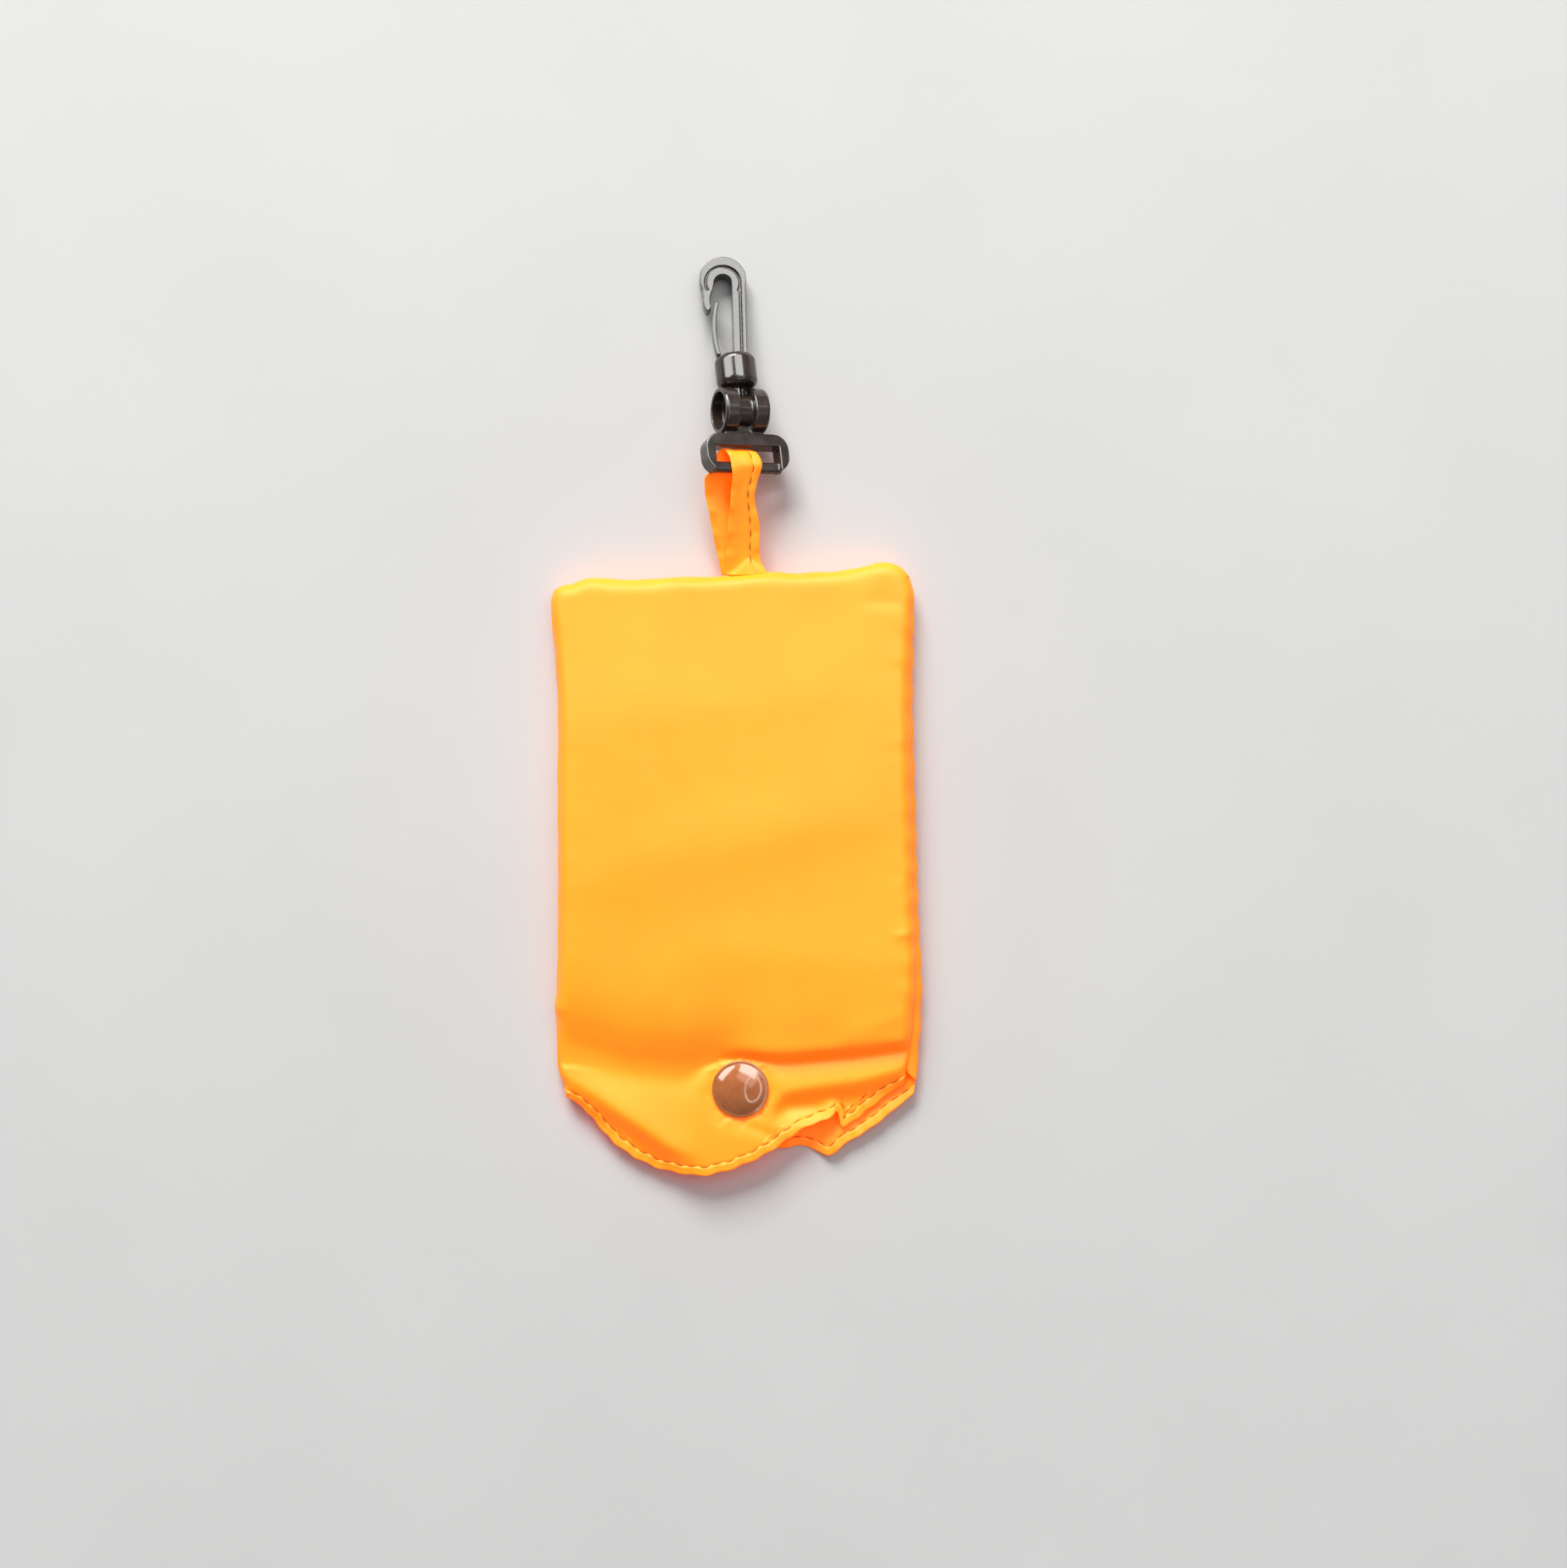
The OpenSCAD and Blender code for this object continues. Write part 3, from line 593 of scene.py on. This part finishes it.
def weave_node(tree, coords, pitch):
    """Height of a plain weave with threads along X and Y."""
    waves = []
    for direction in ("X", "Y"):
        node = tree.nodes.new("ShaderNodeTexWave")
        node.wave_type = "BANDS"
        node.bands_direction = direction
        node.wave_profile = "SIN"
        node.inputs["Scale"].default_value = 0.314 / (pitch * MM)
        node.inputs["Distortion"].default_value = 0.6
        node.inputs["Detail Scale"].default_value = 60
        tree.links.new(coords, node.inputs["Vector"])
        waves.append(node.outputs["Fac"])
    node = tree.nodes.new("ShaderNodeMath")
    node.operation = "MULTIPLY"
    tree.links.new(waves[0], node.inputs[0])
    tree.links.new(waves[1], node.inputs[1])
    return node.outputs["Value"]


def cloth_material(name, light, dark, pitch=0.34, painted_fold_glow=0.5):
    """Thin bright nylon: fine weave, faint broad colour change, and an orange emission that paints
    saturated colour into its shaded folds.
    """
    # The orange emission is painted light: it keeps the cloth's shaded folds saturated orange.
    mat, tree, bsdf, coords = shader_tree(
        name, 0.5, Sheen_Weight=0.05, Sheen_Roughness=0.4, Specular_IOR_Level=0.25,
        Emission_Color=(1.0, 0.06, 0.0, 1), Emission_Strength=painted_fold_glow)
    tint(tree, bsdf, noise_node(tree, coords, 22, 2.0), 0.3, 0.7, dark, light)
    gloss(tree, bsdf, noise_node(tree, coords, 6), 0.42, 0.58)
    bump_chain(tree, bsdf, [(noise_node(tree, coords, 5, 2.0), 0.25, 0.12),
                            (weave_node(tree, coords, pitch), 0.35, 0.03)])
    return mat


def thread_material():
    """Twisted sewing thread, darker than the cloth."""
    mat, tree, bsdf, coords = shader_tree("thread", 0.8, Specular_IOR_Level=0.2)
    twist = noise_node(tree, coords, 0.35, 1.0, (1, 1, 0.4))
    tint(tree, bsdf, twist, 0.35, 0.65, (0.28, 0.070, 0.003, 1), (0.45, 0.130, 0.006, 1))
    bump_chain(tree, bsdf, [(twist, 0.5, 0.05)])
    return mat


def resin_material():
    """Glossy dark brown moulded snap plastic."""
    mat, tree, bsdf, coords = shader_tree("snap_resin", 0.1, Coat_Weight=0.7, Coat_Roughness=0.04,
                                          Specular_IOR_Level=0.5)
    cloud = noise_node(tree, coords, 2.4)
    tint(tree, bsdf, cloud, 0.35, 0.7, (0.36, 0.105, 0.028, 1), (0.43, 0.135, 0.038, 1))
    gloss(tree, bsdf, noise_node(tree, coords, 0.7), 0.08, 0.2)
    bump_chain(tree, bsdf, [(noise_node(tree, coords, 1.6, 2.0), 0.06, 0.02)])
    return mat


def works_material():
    """Satin dark plastic of the snap's working parts."""
    mat, tree, bsdf, coords = shader_tree("snap_works", 0.35)
    cloud = noise_node(tree, coords, 1.5)
    tint(tree, bsdf, cloud, 0.3, 0.7, (0.055, 0.03, 0.026, 1), (0.08, 0.045, 0.04, 1))
    bump_chain(tree, bsdf, [(noise_node(tree, coords, 0.4), 0.12, 0.02)])
    return mat


def clip_material():
    """Black moulded plastic with a slight grain and duller worn patches."""
    mat, tree, bsdf, coords = shader_tree("clip_plastic", 0.25, Specular_IOR_Level=0.68)
    patches = noise_node(tree, coords, 3.5, 4.0)
    tint(tree, bsdf, patches, 0.35, 0.72, (0.020, 0.013, 0.010, 1), (0.038, 0.024, 0.019, 1))
    gloss(tree, bsdf, patches, 0.1, 0.22)
    bump_chain(tree, bsdf, [(noise_node(tree, coords, 1.8, 2.0), 0.08, 0.04),
                            (noise_node(tree, coords, 0.16, 2.0), 0.1, 0.012)])
    return mat


LIGHT_ORANGE = (1.0, 0.375, 0.011, 1)
DARK_ORANGE = (0.98, 0.340, 0.008, 1)
NYLON = cloth_material("nylon", LIGHT_ORANGE, DARK_ORANGE)
NYLON_BACK = cloth_material("nylon_back", (1.0, 0.35, 0.010, 1), (0.97, 0.32, 0.008, 1))
NYLON_INSERT = cloth_material("nylon_insert", (0.95, 0.22, 0.008, 1), (0.88, 0.19, 0.006, 1))
TAPE = cloth_material("tape", (1.0, 0.42, 0.012, 1), (0.98, 0.38, 0.009, 1), 0.3)
THREAD = thread_material()
RESIN = resin_material()
WORKS = works_material()
CLIP = clip_material()


def dress(piece, mat):
    """Gives a piece its material, in its mesh's only material slot."""
    piece.data.materials.clear()
    piece.data.materials.append(mat)


# ---- pieces of the front, baked in place ----


def opens(piece):
    """Bakes a piece's placement into its mesh and reads its points in millimetres."""
    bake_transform(piece)
    co = np.zeros(len(piece.data.vertices) * 3, np.float32)
    piece.data.vertices.foreach_get("co", co)
    co = co.reshape(-1, 3) / MM


# ---- the pouch ----

def make_front_cloth():
    """Front panel and lip as one sewn cloth."""
    grid = cloth_grid(FRONT_SIDES, FRONT_HEM_LINE, FRONT_IN, front_surface, 2.7, 3.9, 5.5)
    rows, cols = grid.shape[:2]
    piece = new_piece("front_cloth", grid.reshape(-1, 3), grid_faces(rows, cols))
    dress(piece, NYLON)
    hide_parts("front_panel", "front_lip")
    thicken(piece, CLOTH)
    opens(piece)


def seam_strip(base):
    """Strip from the back cloth's widest line over to the front cloth's edge."""
    k, _ = nearest(FRONT_LINE, base[:, 0], base[:, 1])
    goal = np.column_stack([FRONT_LINE[k], FRONT_LINE_Z[k]])
    rows = []
    for angle in (18, 38, 58, 76, 90):
        a = math.radians(angle)
        xy = goal[:, :2] + (base[:, :2] - goal[:, :2]) * math.cos(a)
        z = base[:, 2] + (goal[:, 2] - base[:, 2]) * math.sin(a)
        rows.append(np.column_stack([xy, z]))
    dip = goal.copy()
    inside = goal[:, :2] - base[:, :2]
    inside /= np.maximum(np.linalg.norm(inside, axis=1), 0.05)[:, None]
    dip[:, :2] += inside * 0.5
    dip[:, 2] -= 0.3
    rows.append(dip)
    return np.concatenate(rows)


def make_back_cloth():
    """Back cloth with its hem, and the strip of it that comes up to the seams."""
    grid = cloth_grid(BACK_SIDES, BACK_HEM_LINE, BACK_IN, back_surface, 3.0, 3.0, 3.0)
    rows, cols = grid.shape[:2]
    grid[..., 2] = np.maximum(grid[..., 2], 0.02)
    points = grid.reshape(-1, 3)
    faces = grid_faces(rows, cols)
    seam_rows = rows - len(HEM_TOP + HEM_TURN + HEM_UNDER)
    border = [j * cols for j in range(seam_rows - 1, -1, -1)] + list(range(1, cols)) \
        + [j * cols + cols - 1 for j in range(1, seam_rows)]
    strip = seam_strip(points[border])
    ids = np.concatenate([border, len(points) + np.arange(len(strip))]).reshape(-1, len(border))
    for a, b in zip(ids, ids[1:]):
        for i in range(len(border) - 1):
            faces.append((a[i], a[i + 1], b[i + 1], b[i]))
    piece = new_piece("back_cloth", np.vstack([points, strip]), faces)
    dress(piece, NYLON_BACK)
    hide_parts("back_panel")
    thicken(piece, CLOTH)
    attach(piece, "pouch")


def stitch_line(name, path, body, nodes, radius=0.11, sunk=0.05, length=STITCH, gap=STITCH_GAP,
                up=None):
    """One small bowed tube for each stitch of a line along path, with the surface's ups."""
    run = runs(path)
    count = int(run[-1] / (length + gap))
    ups = np.tile((0, 0, 1.0), (len(path), 1)) if up is None else up
    points, faces = [], []
    sides, rings = 7, 9
    for n in range(count):
        start = (n + 0.5) * run[-1] / count - length / 2
        at = start + np.linspace(0, length, rings)
        spot = np.column_stack([np.interp(at, run, path[:, k]) for k in range(3)])
        lift = np.column_stack([np.interp(at, run, ups[:, k]) for k in range(3)])
        ahead = np.gradient(spot, axis=0)
        ahead /= np.linalg.norm(ahead, axis=1)[:, None]
        beside = np.cross(ahead, lift)
        beside /= np.linalg.norm(beside, axis=1)[:, None]
        over = np.cross(beside, ahead)
        bow = np.sin(np.linspace(0, np.pi, rings))
        base = len(points)
        for k in range(rings):
            r = radius * (0.55 + 0.45 * bow[k])
            middle = spot[k] + over[k] * (bow[k] * (radius + sunk) - sunk - radius * 0.6)
            for m in range(sides):
                a = 2 * math.pi * m / sides
                points.append(middle + r * (beside[k] * math.cos(a) + over[k] * math.sin(a)))
        faces += grid_faces(rings, sides, base, closed=True)
        faces.append(tuple(base + m for m in range(sides)))
        faces.append(tuple(base + (rings - 1) * sides + m for m in reversed(range(sides))))
    piece = new_piece(name, points, faces)
    dress(piece, THREAD)
    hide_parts(*nodes)
    if body:
        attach(piece, body)
    return piece


def hem_path(hem, hem_in, surface):
    """Line of a hem's stitches, a little short of both its ends."""
    line = along(np.column_stack([hem, hem_in]), np.linspace(0.012, 0.988, 400))
    p = line[:, :2] + line[:, 2:4] * STITCH_LINE
    z = surface(p[:, 0], p[:, 1]) + hem_bump(STITCH_LINE)
    return np.column_stack([p, z])


def make_stitches():
    """Stitches of both hems, and of the three seams inside the pouch."""
    opens(stitch_line("front_hem_stitches", hem_path(FRONT_HEM_LINE, FRONT_IN, front_surface),
                      None, ["front_hem_thread"]))
    stitch_line("back_hem_stitches", hem_path(BACK_HEM_LINE, BACK_IN, back_surface),
                "pouch", ["back_hem_thread"])
    for name, edge, side in zip(("left", "top", "right"), FRONT_SIDES, (-1, 1, 1)):
        p = edge + normals(edge) * side * SEAM_INSIDE
        k, _ = nearest(FRONT_LINE, p[:, 0], p[:, 1])
        path = np.column_stack([p, FRONT_LINE_Z[k] - SEAM_BELOW])
        keep = path[:, 1] > SEAM_END_Y
        stitch_line(name + "_seam_stitches", path[keep], "pouch", [name + "_seam_thread"])


# ---- filling ----

def make_filling():
    """A cloth folded to and fro in three soft layers."""
    low, high = (np.array(corner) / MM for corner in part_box("folded_insert"))
    layers, skin = 3, 0.5
    pitch = (high[2] - low[2]) / layers
    turn = pitch / 2
    half = (high[0] - low[0]) / 2 - turn
    line = []
    for k in range(layers):
        z = low[2] + pitch * (k + 0.5)
        way = 1 if k % 2 == 0 else -1
        xs = np.linspace(-half * way, half * way, 46)
        sag = 0.10 * np.sin(xs / 5.0 + k) + 0.05 * np.sin(xs / 1.9)
        line += list(zip(xs, z + sag))
        if k < layers - 1:
            line += [(way * (half + turn * math.sin(a)), z + turn - turn * math.cos(a))
                     for a in np.linspace(0, math.pi, 9)[1:-1]]
    line = np.array(line)
    ys = np.linspace(low[1], high[1], 70)
    points = []
    for y in ys:
        squeeze = 1 - 1.25 * END_DROP / high[2] * smooth(20, 60, y)
        z = low[2] + (line[:, 1] - low[2]) * squeeze + 0.06 * np.sin(y / 4.0 + line[:, 0] / 9)
        points += list(zip(line[:, 0], np.full(len(z), y), z))
    piece = new_piece("folded_filling", points, grid_faces(len(ys), len(line)))
    dress(piece, NYLON_INSERT)
    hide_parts("folded_insert")
    thicken(piece, skin, 0.0)
    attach(piece, "pouch")


# ---- snap ----

DOME_EDGE = 5.75            # radius where the cap's dome meets its rim
PIN_R = 1.1                 # radius of the pins that go through the cloths
AXIS_R = 0.02               # the turned outlines end this close to their axis
WORKS_EDGE = 0.12           # bevel of the socket and the stud


def heights(box):
    """Lowest and highest Z of a CAD node's box, in millimetres."""
    return box[0][2] / MM, box[1][2] / MM


def make_snap():
    """Domed cap and back button, turned round the snap's axis, and the finish of the works."""
    low, high = heights(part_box("snap_cap"))
    rise = high - LIP_Z - 0.55
    dome_r = (DOME_EDGE ** 2 + rise ** 2) / (2 * rise)
    steps = 14
    dome = []
    for k in range(steps + 1):
        a = math.asin(DOME_EDGE / dome_r) * (1 - k / steps)
        dome.append((dome_r * math.sin(a), high - dome_r + dome_r * math.cos(a)))
    rim = [(PIN_R, low), (PIN_R, LIP_Z - 0.02), (5.7, LIP_Z - 0.02)] \
        + arc(5.85, LIP_Z + 0.33, 0.35, -80, 62, 8)
    cap = lathe("snap_dome", [(AXIS_R, low)] + rim + dome[:-1] + [(AXIS_R, high)], SNAP)
    dress(cap, RESIN)
    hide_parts("snap_cap")
    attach(cap, "front_lip")
    low, high = heights(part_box("snap_back_cap"))
    flange = low + 1.0
    outline = [(AXIS_R, low), (4.9, low)] + arc(5.8, low + 0.4, 0.4, -90, 20, 6) \
        + arc(5.75, flange - 0.3, 0.3, 10, 90, 4) + [(PIN_R + 0.2, flange)] \
        + [(PIN_R, flange + 0.2), (PIN_R, high - 0.3), (0.6, high), (AXIS_R, high)]
    back = lathe("snap_back_button", outline, SNAP)
    dress(back, RESIN)
    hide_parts("snap_back_cap")
    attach(back, "pouch")
    for node in ("snap_socket", "snap_stud"):
        finish_node(node, WORKS, WORKS_EDGE)


def finish_node(node, mat, edge):
    """Gives a CAD node its material and rounds its edges a little."""
    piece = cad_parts[node]
    dress(piece, mat)
    weld = piece.modifiers.new("weld", "WELD")
    weld.merge_threshold = 0.004 * MM
    bevel = piece.modifiers.new("edges", "BEVEL")
    bevel.width = edge * MM
    bevel.segments = 3
    bevel.limit_method = "ANGLE"
    bevel.angle_limit = math.radians(32)
    bevel.harden_normals = True
    for polygon in piece.data.polygons:
        polygon.use_smooth = True


# ---- strap ----

STRAP_W, STRAP_T = 7.2, 0.5
BAR = np.array((4.2, 87.7, 9.0))
FOOT = np.array((3.6, 65.2, 3.2))
CURL_R = 1.75
CURL_STRETCH = 2.25         # the tape's fold reaches further into the slot than round the bar
LEAN, PITCH, ROLL, HOOK_ROLL = 5.0, 8.9, 24.0, 6.0
LEG_HALF = 0.33             # the legs lie this far from their middle plane at the seam
BACK_BOW = 1.5              # how far the back leg hangs below a straight line
LEG_STEPS, CURL_STEPS = 66, 24
SEAM_A = 1.5                # the stitches' distance from the middle of the tape
# Edges of the front leg, and left edge of the back leg, at distances along Y
FRONT_LEFT = [(63, -0.9), (65.3, -0.85), (72.4, -0.4), (80.7, 0.6), (85.5, 1.15), (89.5, 0.95)]
FRONT_RIGHT = [(63, 8.8), (65.2, 8.4), (66.8, 7.4), (68.4, 6.8), (71, 6.6), (74.9, 6.8),
               (79.3, 6.1), (82.2, 5.85), (84.8, 6.6), (87.8, 7.6), (90, 7.5)]
BACK_LEFT = [(63, -1.7), (65.4, -1.8), (72.1, -3.1), (78.2, -4.1), (83.2, -4.95), (86.1, -4.7),
             (87.2, -2.9), (89.5, -2.3)]
FOOT_FOLD = (4.3, 68.6)     # tip of the triangle folded across the tape's foot


def unit(v):
    """A vector's direction."""
    return v / np.linalg.norm(v)


def clip_axes(roll, lean, pitch):
    """Across and along directions of the clip at a roll, lean and pitch in degrees."""
    r, a, p = (math.radians(v) for v in (roll, lean, pitch))
    u = np.array((math.cos(a), math.sin(a), 0))
    w = np.array((-math.sin(a) * math.sin(p), math.cos(a) * math.sin(p), math.cos(p)))
    v = np.array((-math.sin(a) * math.cos(p), math.cos(a) * math.cos(p), -math.sin(p)))
    return u * math.cos(r) - w * math.sin(r), v


def leg_frame(t, side):
    """Middle, across and outward directions, and edges of a strap leg at t, from foot to bar."""
    u, v = clip_axes(ROLL * t * t * (3 - 2 * t), LEAN * t, PITCH * t)
    d = unit(BAR - FOOT) * (1 - t) + v * t
    out = unit(np.cross(u, d)) * side
    bow = BACK_BOW * math.sin(math.pi * t ** 3) if side < 0 else 0.0
    middle = FOOT + t * (BAR - FOOT) + out * (LEG_HALF + (CURL_R - LEG_HALF) * t ** 1.5 + bow)
    left = profile(FRONT_LEFT if side > 0 else BACK_LEFT, middle[1])
    right = profile(FRONT_RIGHT, middle[1]) if side > 0 else left + STRAP_W * u[0]
    return middle, u, out, (left - middle[0]) / u[0], (right - middle[0]) / u[0]


def curl_frame(share, start, end):
    """The same round the bar, between the edges that the two legs arrive with."""
    u, v = clip_axes(ROLL, LEAN, PITCH)
    w = unit(np.cross(u, v))
    a = math.radians(90 - 180 * share)
    out = w * math.sin(a) + v * math.cos(a)
    reach = w * math.sin(a) + v * math.cos(a) * CURL_STRETCH
    way = smooth(0, 1, share)
    left, right = (start[k] * (1 - way) + end[k] * way for k in (3, 4))
    return BAR + reach * CURL_R, u, out, left, right


def strap_frames():
    """Frames of the whole tape: up the front leg, round the bar and down the back leg."""
    up = [leg_frame(k / LEG_STEPS, 1) for k in range(LEG_STEPS)]
    down = [leg_frame(k / LEG_STEPS, -1) for k in range(LEG_STEPS - 1, -1, -1)]
    turn = [curl_frame(k / CURL_STEPS, up[-1], down[0]) for k in range(CURL_STEPS + 1)]
    frames = up + turn + down
    middles = np.array([f[0] for f in frames])
    reach = 4
    softer = np.column_stack([eased(middles[:, k], reach) for k in range(3)])
    ends = np.minimum(np.arange(len(frames)), np.arange(len(frames))[::-1])[:, None]
    middles = np.where(ends < reach, middles, softer)
    return [(m,) + f[1:] for m, f in zip(middles, frames)]


def tape_outline(wobble):
    """(across, outward) points of the tape: a soft fold on the left, two layers on the right."""
    half, thick = STRAP_W / 2, STRAP_T / 2
    top = [(-half + 0.6 - 0.6 * math.cos(a), thick * math.sin(a))
           for a in np.linspace(0, math.pi / 2, 6)]
    body = [(a, thick + 0.05 * math.sin(a * 1.7 + wobble)) for a in np.linspace(-2.6, 1.1, 9)]
    seam = [(SEAM_A - 0.2, thick - 0.06), (SEAM_A, thick - 0.12), (SEAM_A + 0.2, thick - 0.06),
            (SEAM_A + 0.6, thick + 0.03), (SEAM_A + 1.2, thick + 0.04)]
    edge = [(half - 0.3, thick), (half - 0.08, thick - 0.08), (half, 0.0)]
    upper = top + body + seam + edge
    lower = [(a, -n) for a, n in reversed(upper[1:-1])]
    return upper + lower


def foot_fold(x, y):
    """Extra height where the tape's end is folded across itself at the seam."""
    inside = FOOT_FOLD[1] - y - 0.78 * abs(x - FOOT_FOLD[0])
    return 0.35 * float(smooth(-0.15, 0.35, inside)) + 0.28 * max(inside, 0.0)


def make_strap():
    """The strap's tape and its line of stitches up the front and over the bar."""
    frames = strap_frames()
    count = len(frames)
    points = []
    for i, (middle, u, out, left, right) in enumerate(frames):
        share = i / (count - 1)
        wobble = 0.9 * math.sin(share * 47) + 0.6 * math.sin(share * 29 + 1)
        curl = 0.16 * math.sin(share * 61 + 0.5) + 0.04 * math.sin(share * 137)
        for a, n in tape_outline(wobble):
            side = a / (STRAP_W / 2)
            n += curl * side * abs(side)
            spot = middle + u * ((left + right) / 2 + side * (right - left) / 2) + out * n
            if i < LEG_STEPS / 2 and n > 0:
                spot = spot + out * foot_fold(spot[0], spot[1])
            points.append(spot)
    ring = len(tape_outline(0))
    faces = [f[::-1] for f in grid_faces(count, ring, closed=True)]
    faces.append(tuple(range(ring))[::-1])
    faces.append(tuple((count - 1) * ring + k for k in range(ring)))
    piece = new_piece("strap_tape", points, faces)
    dress(piece, TAPE)
    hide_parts("strap_loop")
    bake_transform(piece)
    path, ups = [], []
    for middle, u, out, left, right in frames[6:LEG_STEPS + 9]:
        across_tape = (left + right) / 2 + SEAM_A / STRAP_W * (right - left)
        spot = middle + u * across_tape + out * (STRAP_T / 2 - 0.08)
        path.append(spot + out * foot_fold(spot[0], spot[1]))
        ups.append(out)
    stitch_line("strap_stitches", np.array(path), "strap", ["strap_thread"], radius=0.13,
                up=np.array(ups))


# ---- clip ----

def softened(node, name, roll, voxel, rounds, swell):
    """A copy of a CAD node with every edge rounded, as moulded plastic has them.

    It is remeshed in the clip's own axes, which keeps its flat faces flat, and it grows by swell.
    """
    u, v = clip_axes(roll, LEAN, PITCH)
    turn = Matrix((u, v, np.cross(u, v)))
    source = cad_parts[node].data.copy()
    source.transform(turn.to_4x4() @ Matrix.Scale(1 / MM, 4))
    draft = bpy.data.objects.new("draft", source)
    link(draft)
    remesh = draft.modifiers.new("even", "REMESH")
    remesh.mode = "VOXEL"
    remesh.voxel_size = voxel
    grow = draft.modifiers.new("grow", "DISPLACE")
    grow.mid_level = 0
    grow.strength = swell
    ease = draft.modifiers.new("ease", "SMOOTH")
    ease.factor = 0.5
    ease.iterations = rounds
    made = draft.evaluated_get(bpy.context.evaluated_depsgraph_get()).to_mesh()
    points = [tuple(turn.transposed() @ p.co) for p in made.vertices]
    piece = new_piece(name, points, [tuple(f.vertices) for f in made.polygons])
    bpy.data.objects.remove(draft)
    return piece


def make_clip():
    """The clip's three mouldings, softened, with their material."""
    for node, name, body, roll, voxel, rounds, swell in (
            ("swivel_base", "swivel_loop", "clip_base", ROLL, 0.13, 3, 0),
            ("hook", "snap_hook", "hook", HOOK_ROLL, 0.11, 2, 0),
            ("hook_gate", "gate_tongue", "gate", HOOK_ROLL, 0.08, 1, 0.12)):
        piece = softened(node, name, roll, voxel, rounds, swell)
        dress(piece, CLIP)
        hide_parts(node)
        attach(piece, body)


# ---- stage ----

def make_camera():
    """Camera that looks straight down on the pouch, turned a little."""
    x, y, height, turn = 10.8, 19.1, 455.0, -1.2
    data = bpy.data.cameras.new("camera")
    data.lens = 47.3
    data.sensor_width = 36
    data.clip_start = 0.01
    data.clip_end = 20
    camera = bpy.data.objects.new("camera", data)
    camera.location = (x * MM, y * MM, height * MM)
    camera.rotation_euler = (0, 0, math.radians(turn))
    link(camera)
    bpy.context.scene.camera = camera


def area_light(name, azimuth, tilt, distance, size, watts, colour=(1, 1, 1)):
    """Soft rectangle that looks at the snap: azimuth from +Y towards +X, tilt from upright."""
    a, t = math.radians(azimuth), math.radians(tilt)
    way = Vector((math.sin(t) * math.sin(a), math.sin(t) * math.cos(a), math.cos(t)))
    data = bpy.data.lights.new(name, "AREA")
    data.shape = "RECTANGLE"
    data.size, data.size_y = size
    data.energy = watts
    data.color = colour
    light = bpy.data.objects.new(name, data)
    light.location = Vector((SNAP[0] * MM, SNAP[1] * MM, 0)) + way * distance
    light.rotation_euler = way.to_track_quat("Z", "Y").to_euler()
    link(light)


def card(name, points, faces, colour, strength):
    """Glowing shape that is only seen as a reflection."""
    lamp = new_piece(name, points, faces, False)
    lamp.data.materials.append(shader_tree(name, 0.5, Base_Color=(0, 0, 0, 1),
                                           Emission_Color=colour, Emission_Strength=strength)[0])
    lamp.visible_camera = False
    lamp.visible_shadow = False
    lamp.visible_diffuse = False


def window(name, azimuth, tilt, width, height, outline):
    """Window card one metre from the snap, facing it, with its outline in shares of half its size."""
    a, t = math.radians(azimuth), math.radians(tilt)
    way = np.array((math.sin(t) * math.sin(a), math.sin(t) * math.cos(a), math.cos(t)))
    beside = np.array((math.cos(a), -math.sin(a), 0))
    upward = np.cross(beside, way)
    middle = np.array((*SNAP, 0)) + way / MM
    points = [middle + (beside * i * width + upward * j * height) / (2 * MM) for i, j in outline]
    card(name, points, [tuple(range(len(points)))], (0.97, 1.0, 0.97, 1), 9.0)


def ring_card():
    """Thin glowing ellipse, wider on one side."""
    centre, steps = np.array((245, -125, 450)), 64
    angle = np.repeat(np.arange(steps) * 2 * np.pi / steps, 2)
    tube = np.tile((-1, 1), steps) * 16 * (1 + 0.5 * np.cos(angle + 0.5))
    points = centre + np.column_stack([(175 + tube) * np.cos(angle), (255 + tube) * np.sin(angle),
                                       np.zeros(2 * steps)])
    faces = [(2 * k, 2 * k + 1, (2 * k + 3) % (2 * steps), (2 * k + 2) % (2 * steps))
             for k in range(steps)]
    card("ring_card", points, faces, (1.0, 0.93, 0.9, 1), 6.5)


def make_stage():
    """Reflected cards, lights, dim sky and plain floor."""
    window("window_left", -46, 53, 0.7, 0.56, ((-1, -1), (1, -1), (1, 1), (-1, 1)))
    window("window_right", 29, 44.5, 0.68, 0.64, ((-1, -1), (0.2, -1), (1, 0.35), (1, 1), (-1, 1)))
    ring_card()
    area_light("key", -12, 59, 2.5, (1.3, 1.1), 95, (1.0, 0.99, 0.97))
    area_light("fill", 40, 30, 2.0, (1.5, 1.5), 12, (1.0, 0.99, 0.97))
    world = bpy.data.worlds.new("studio")
    world.use_nodes = True
    sky = world.node_tree.nodes["Background"].inputs
    sky["Color"].default_value = (0.95, 0.96, 1.0, 1)
    sky["Strength"].default_value = 0.27
    bpy.context.scene.world = world
    bpy.context.scene.view_settings.view_transform = "Standard"
    half = 2000.0
    floor = new_piece("floor", [(-half, -half, 0), (half, -half, 0), (half, half, 0),
                                (-half, half, 0)], [(0, 1, 2, 3)], False)
    mat, tree, bsdf, coords = shader_tree("floor", 0.8, Specular_IOR_Level=0.2)
    tint(tree, bsdf, noise_node(tree, coords, 60), 0.3, 0.7, (0.55, 0.55, 0.55, 1),
         (0.57, 0.57, 0.57, 1))
    floor.data.materials.append(mat)


make_camera()
make_stage()
make_front_cloth()
make_back_cloth()
make_stitches()
make_filling()
make_snap()
make_strap()
make_clip()
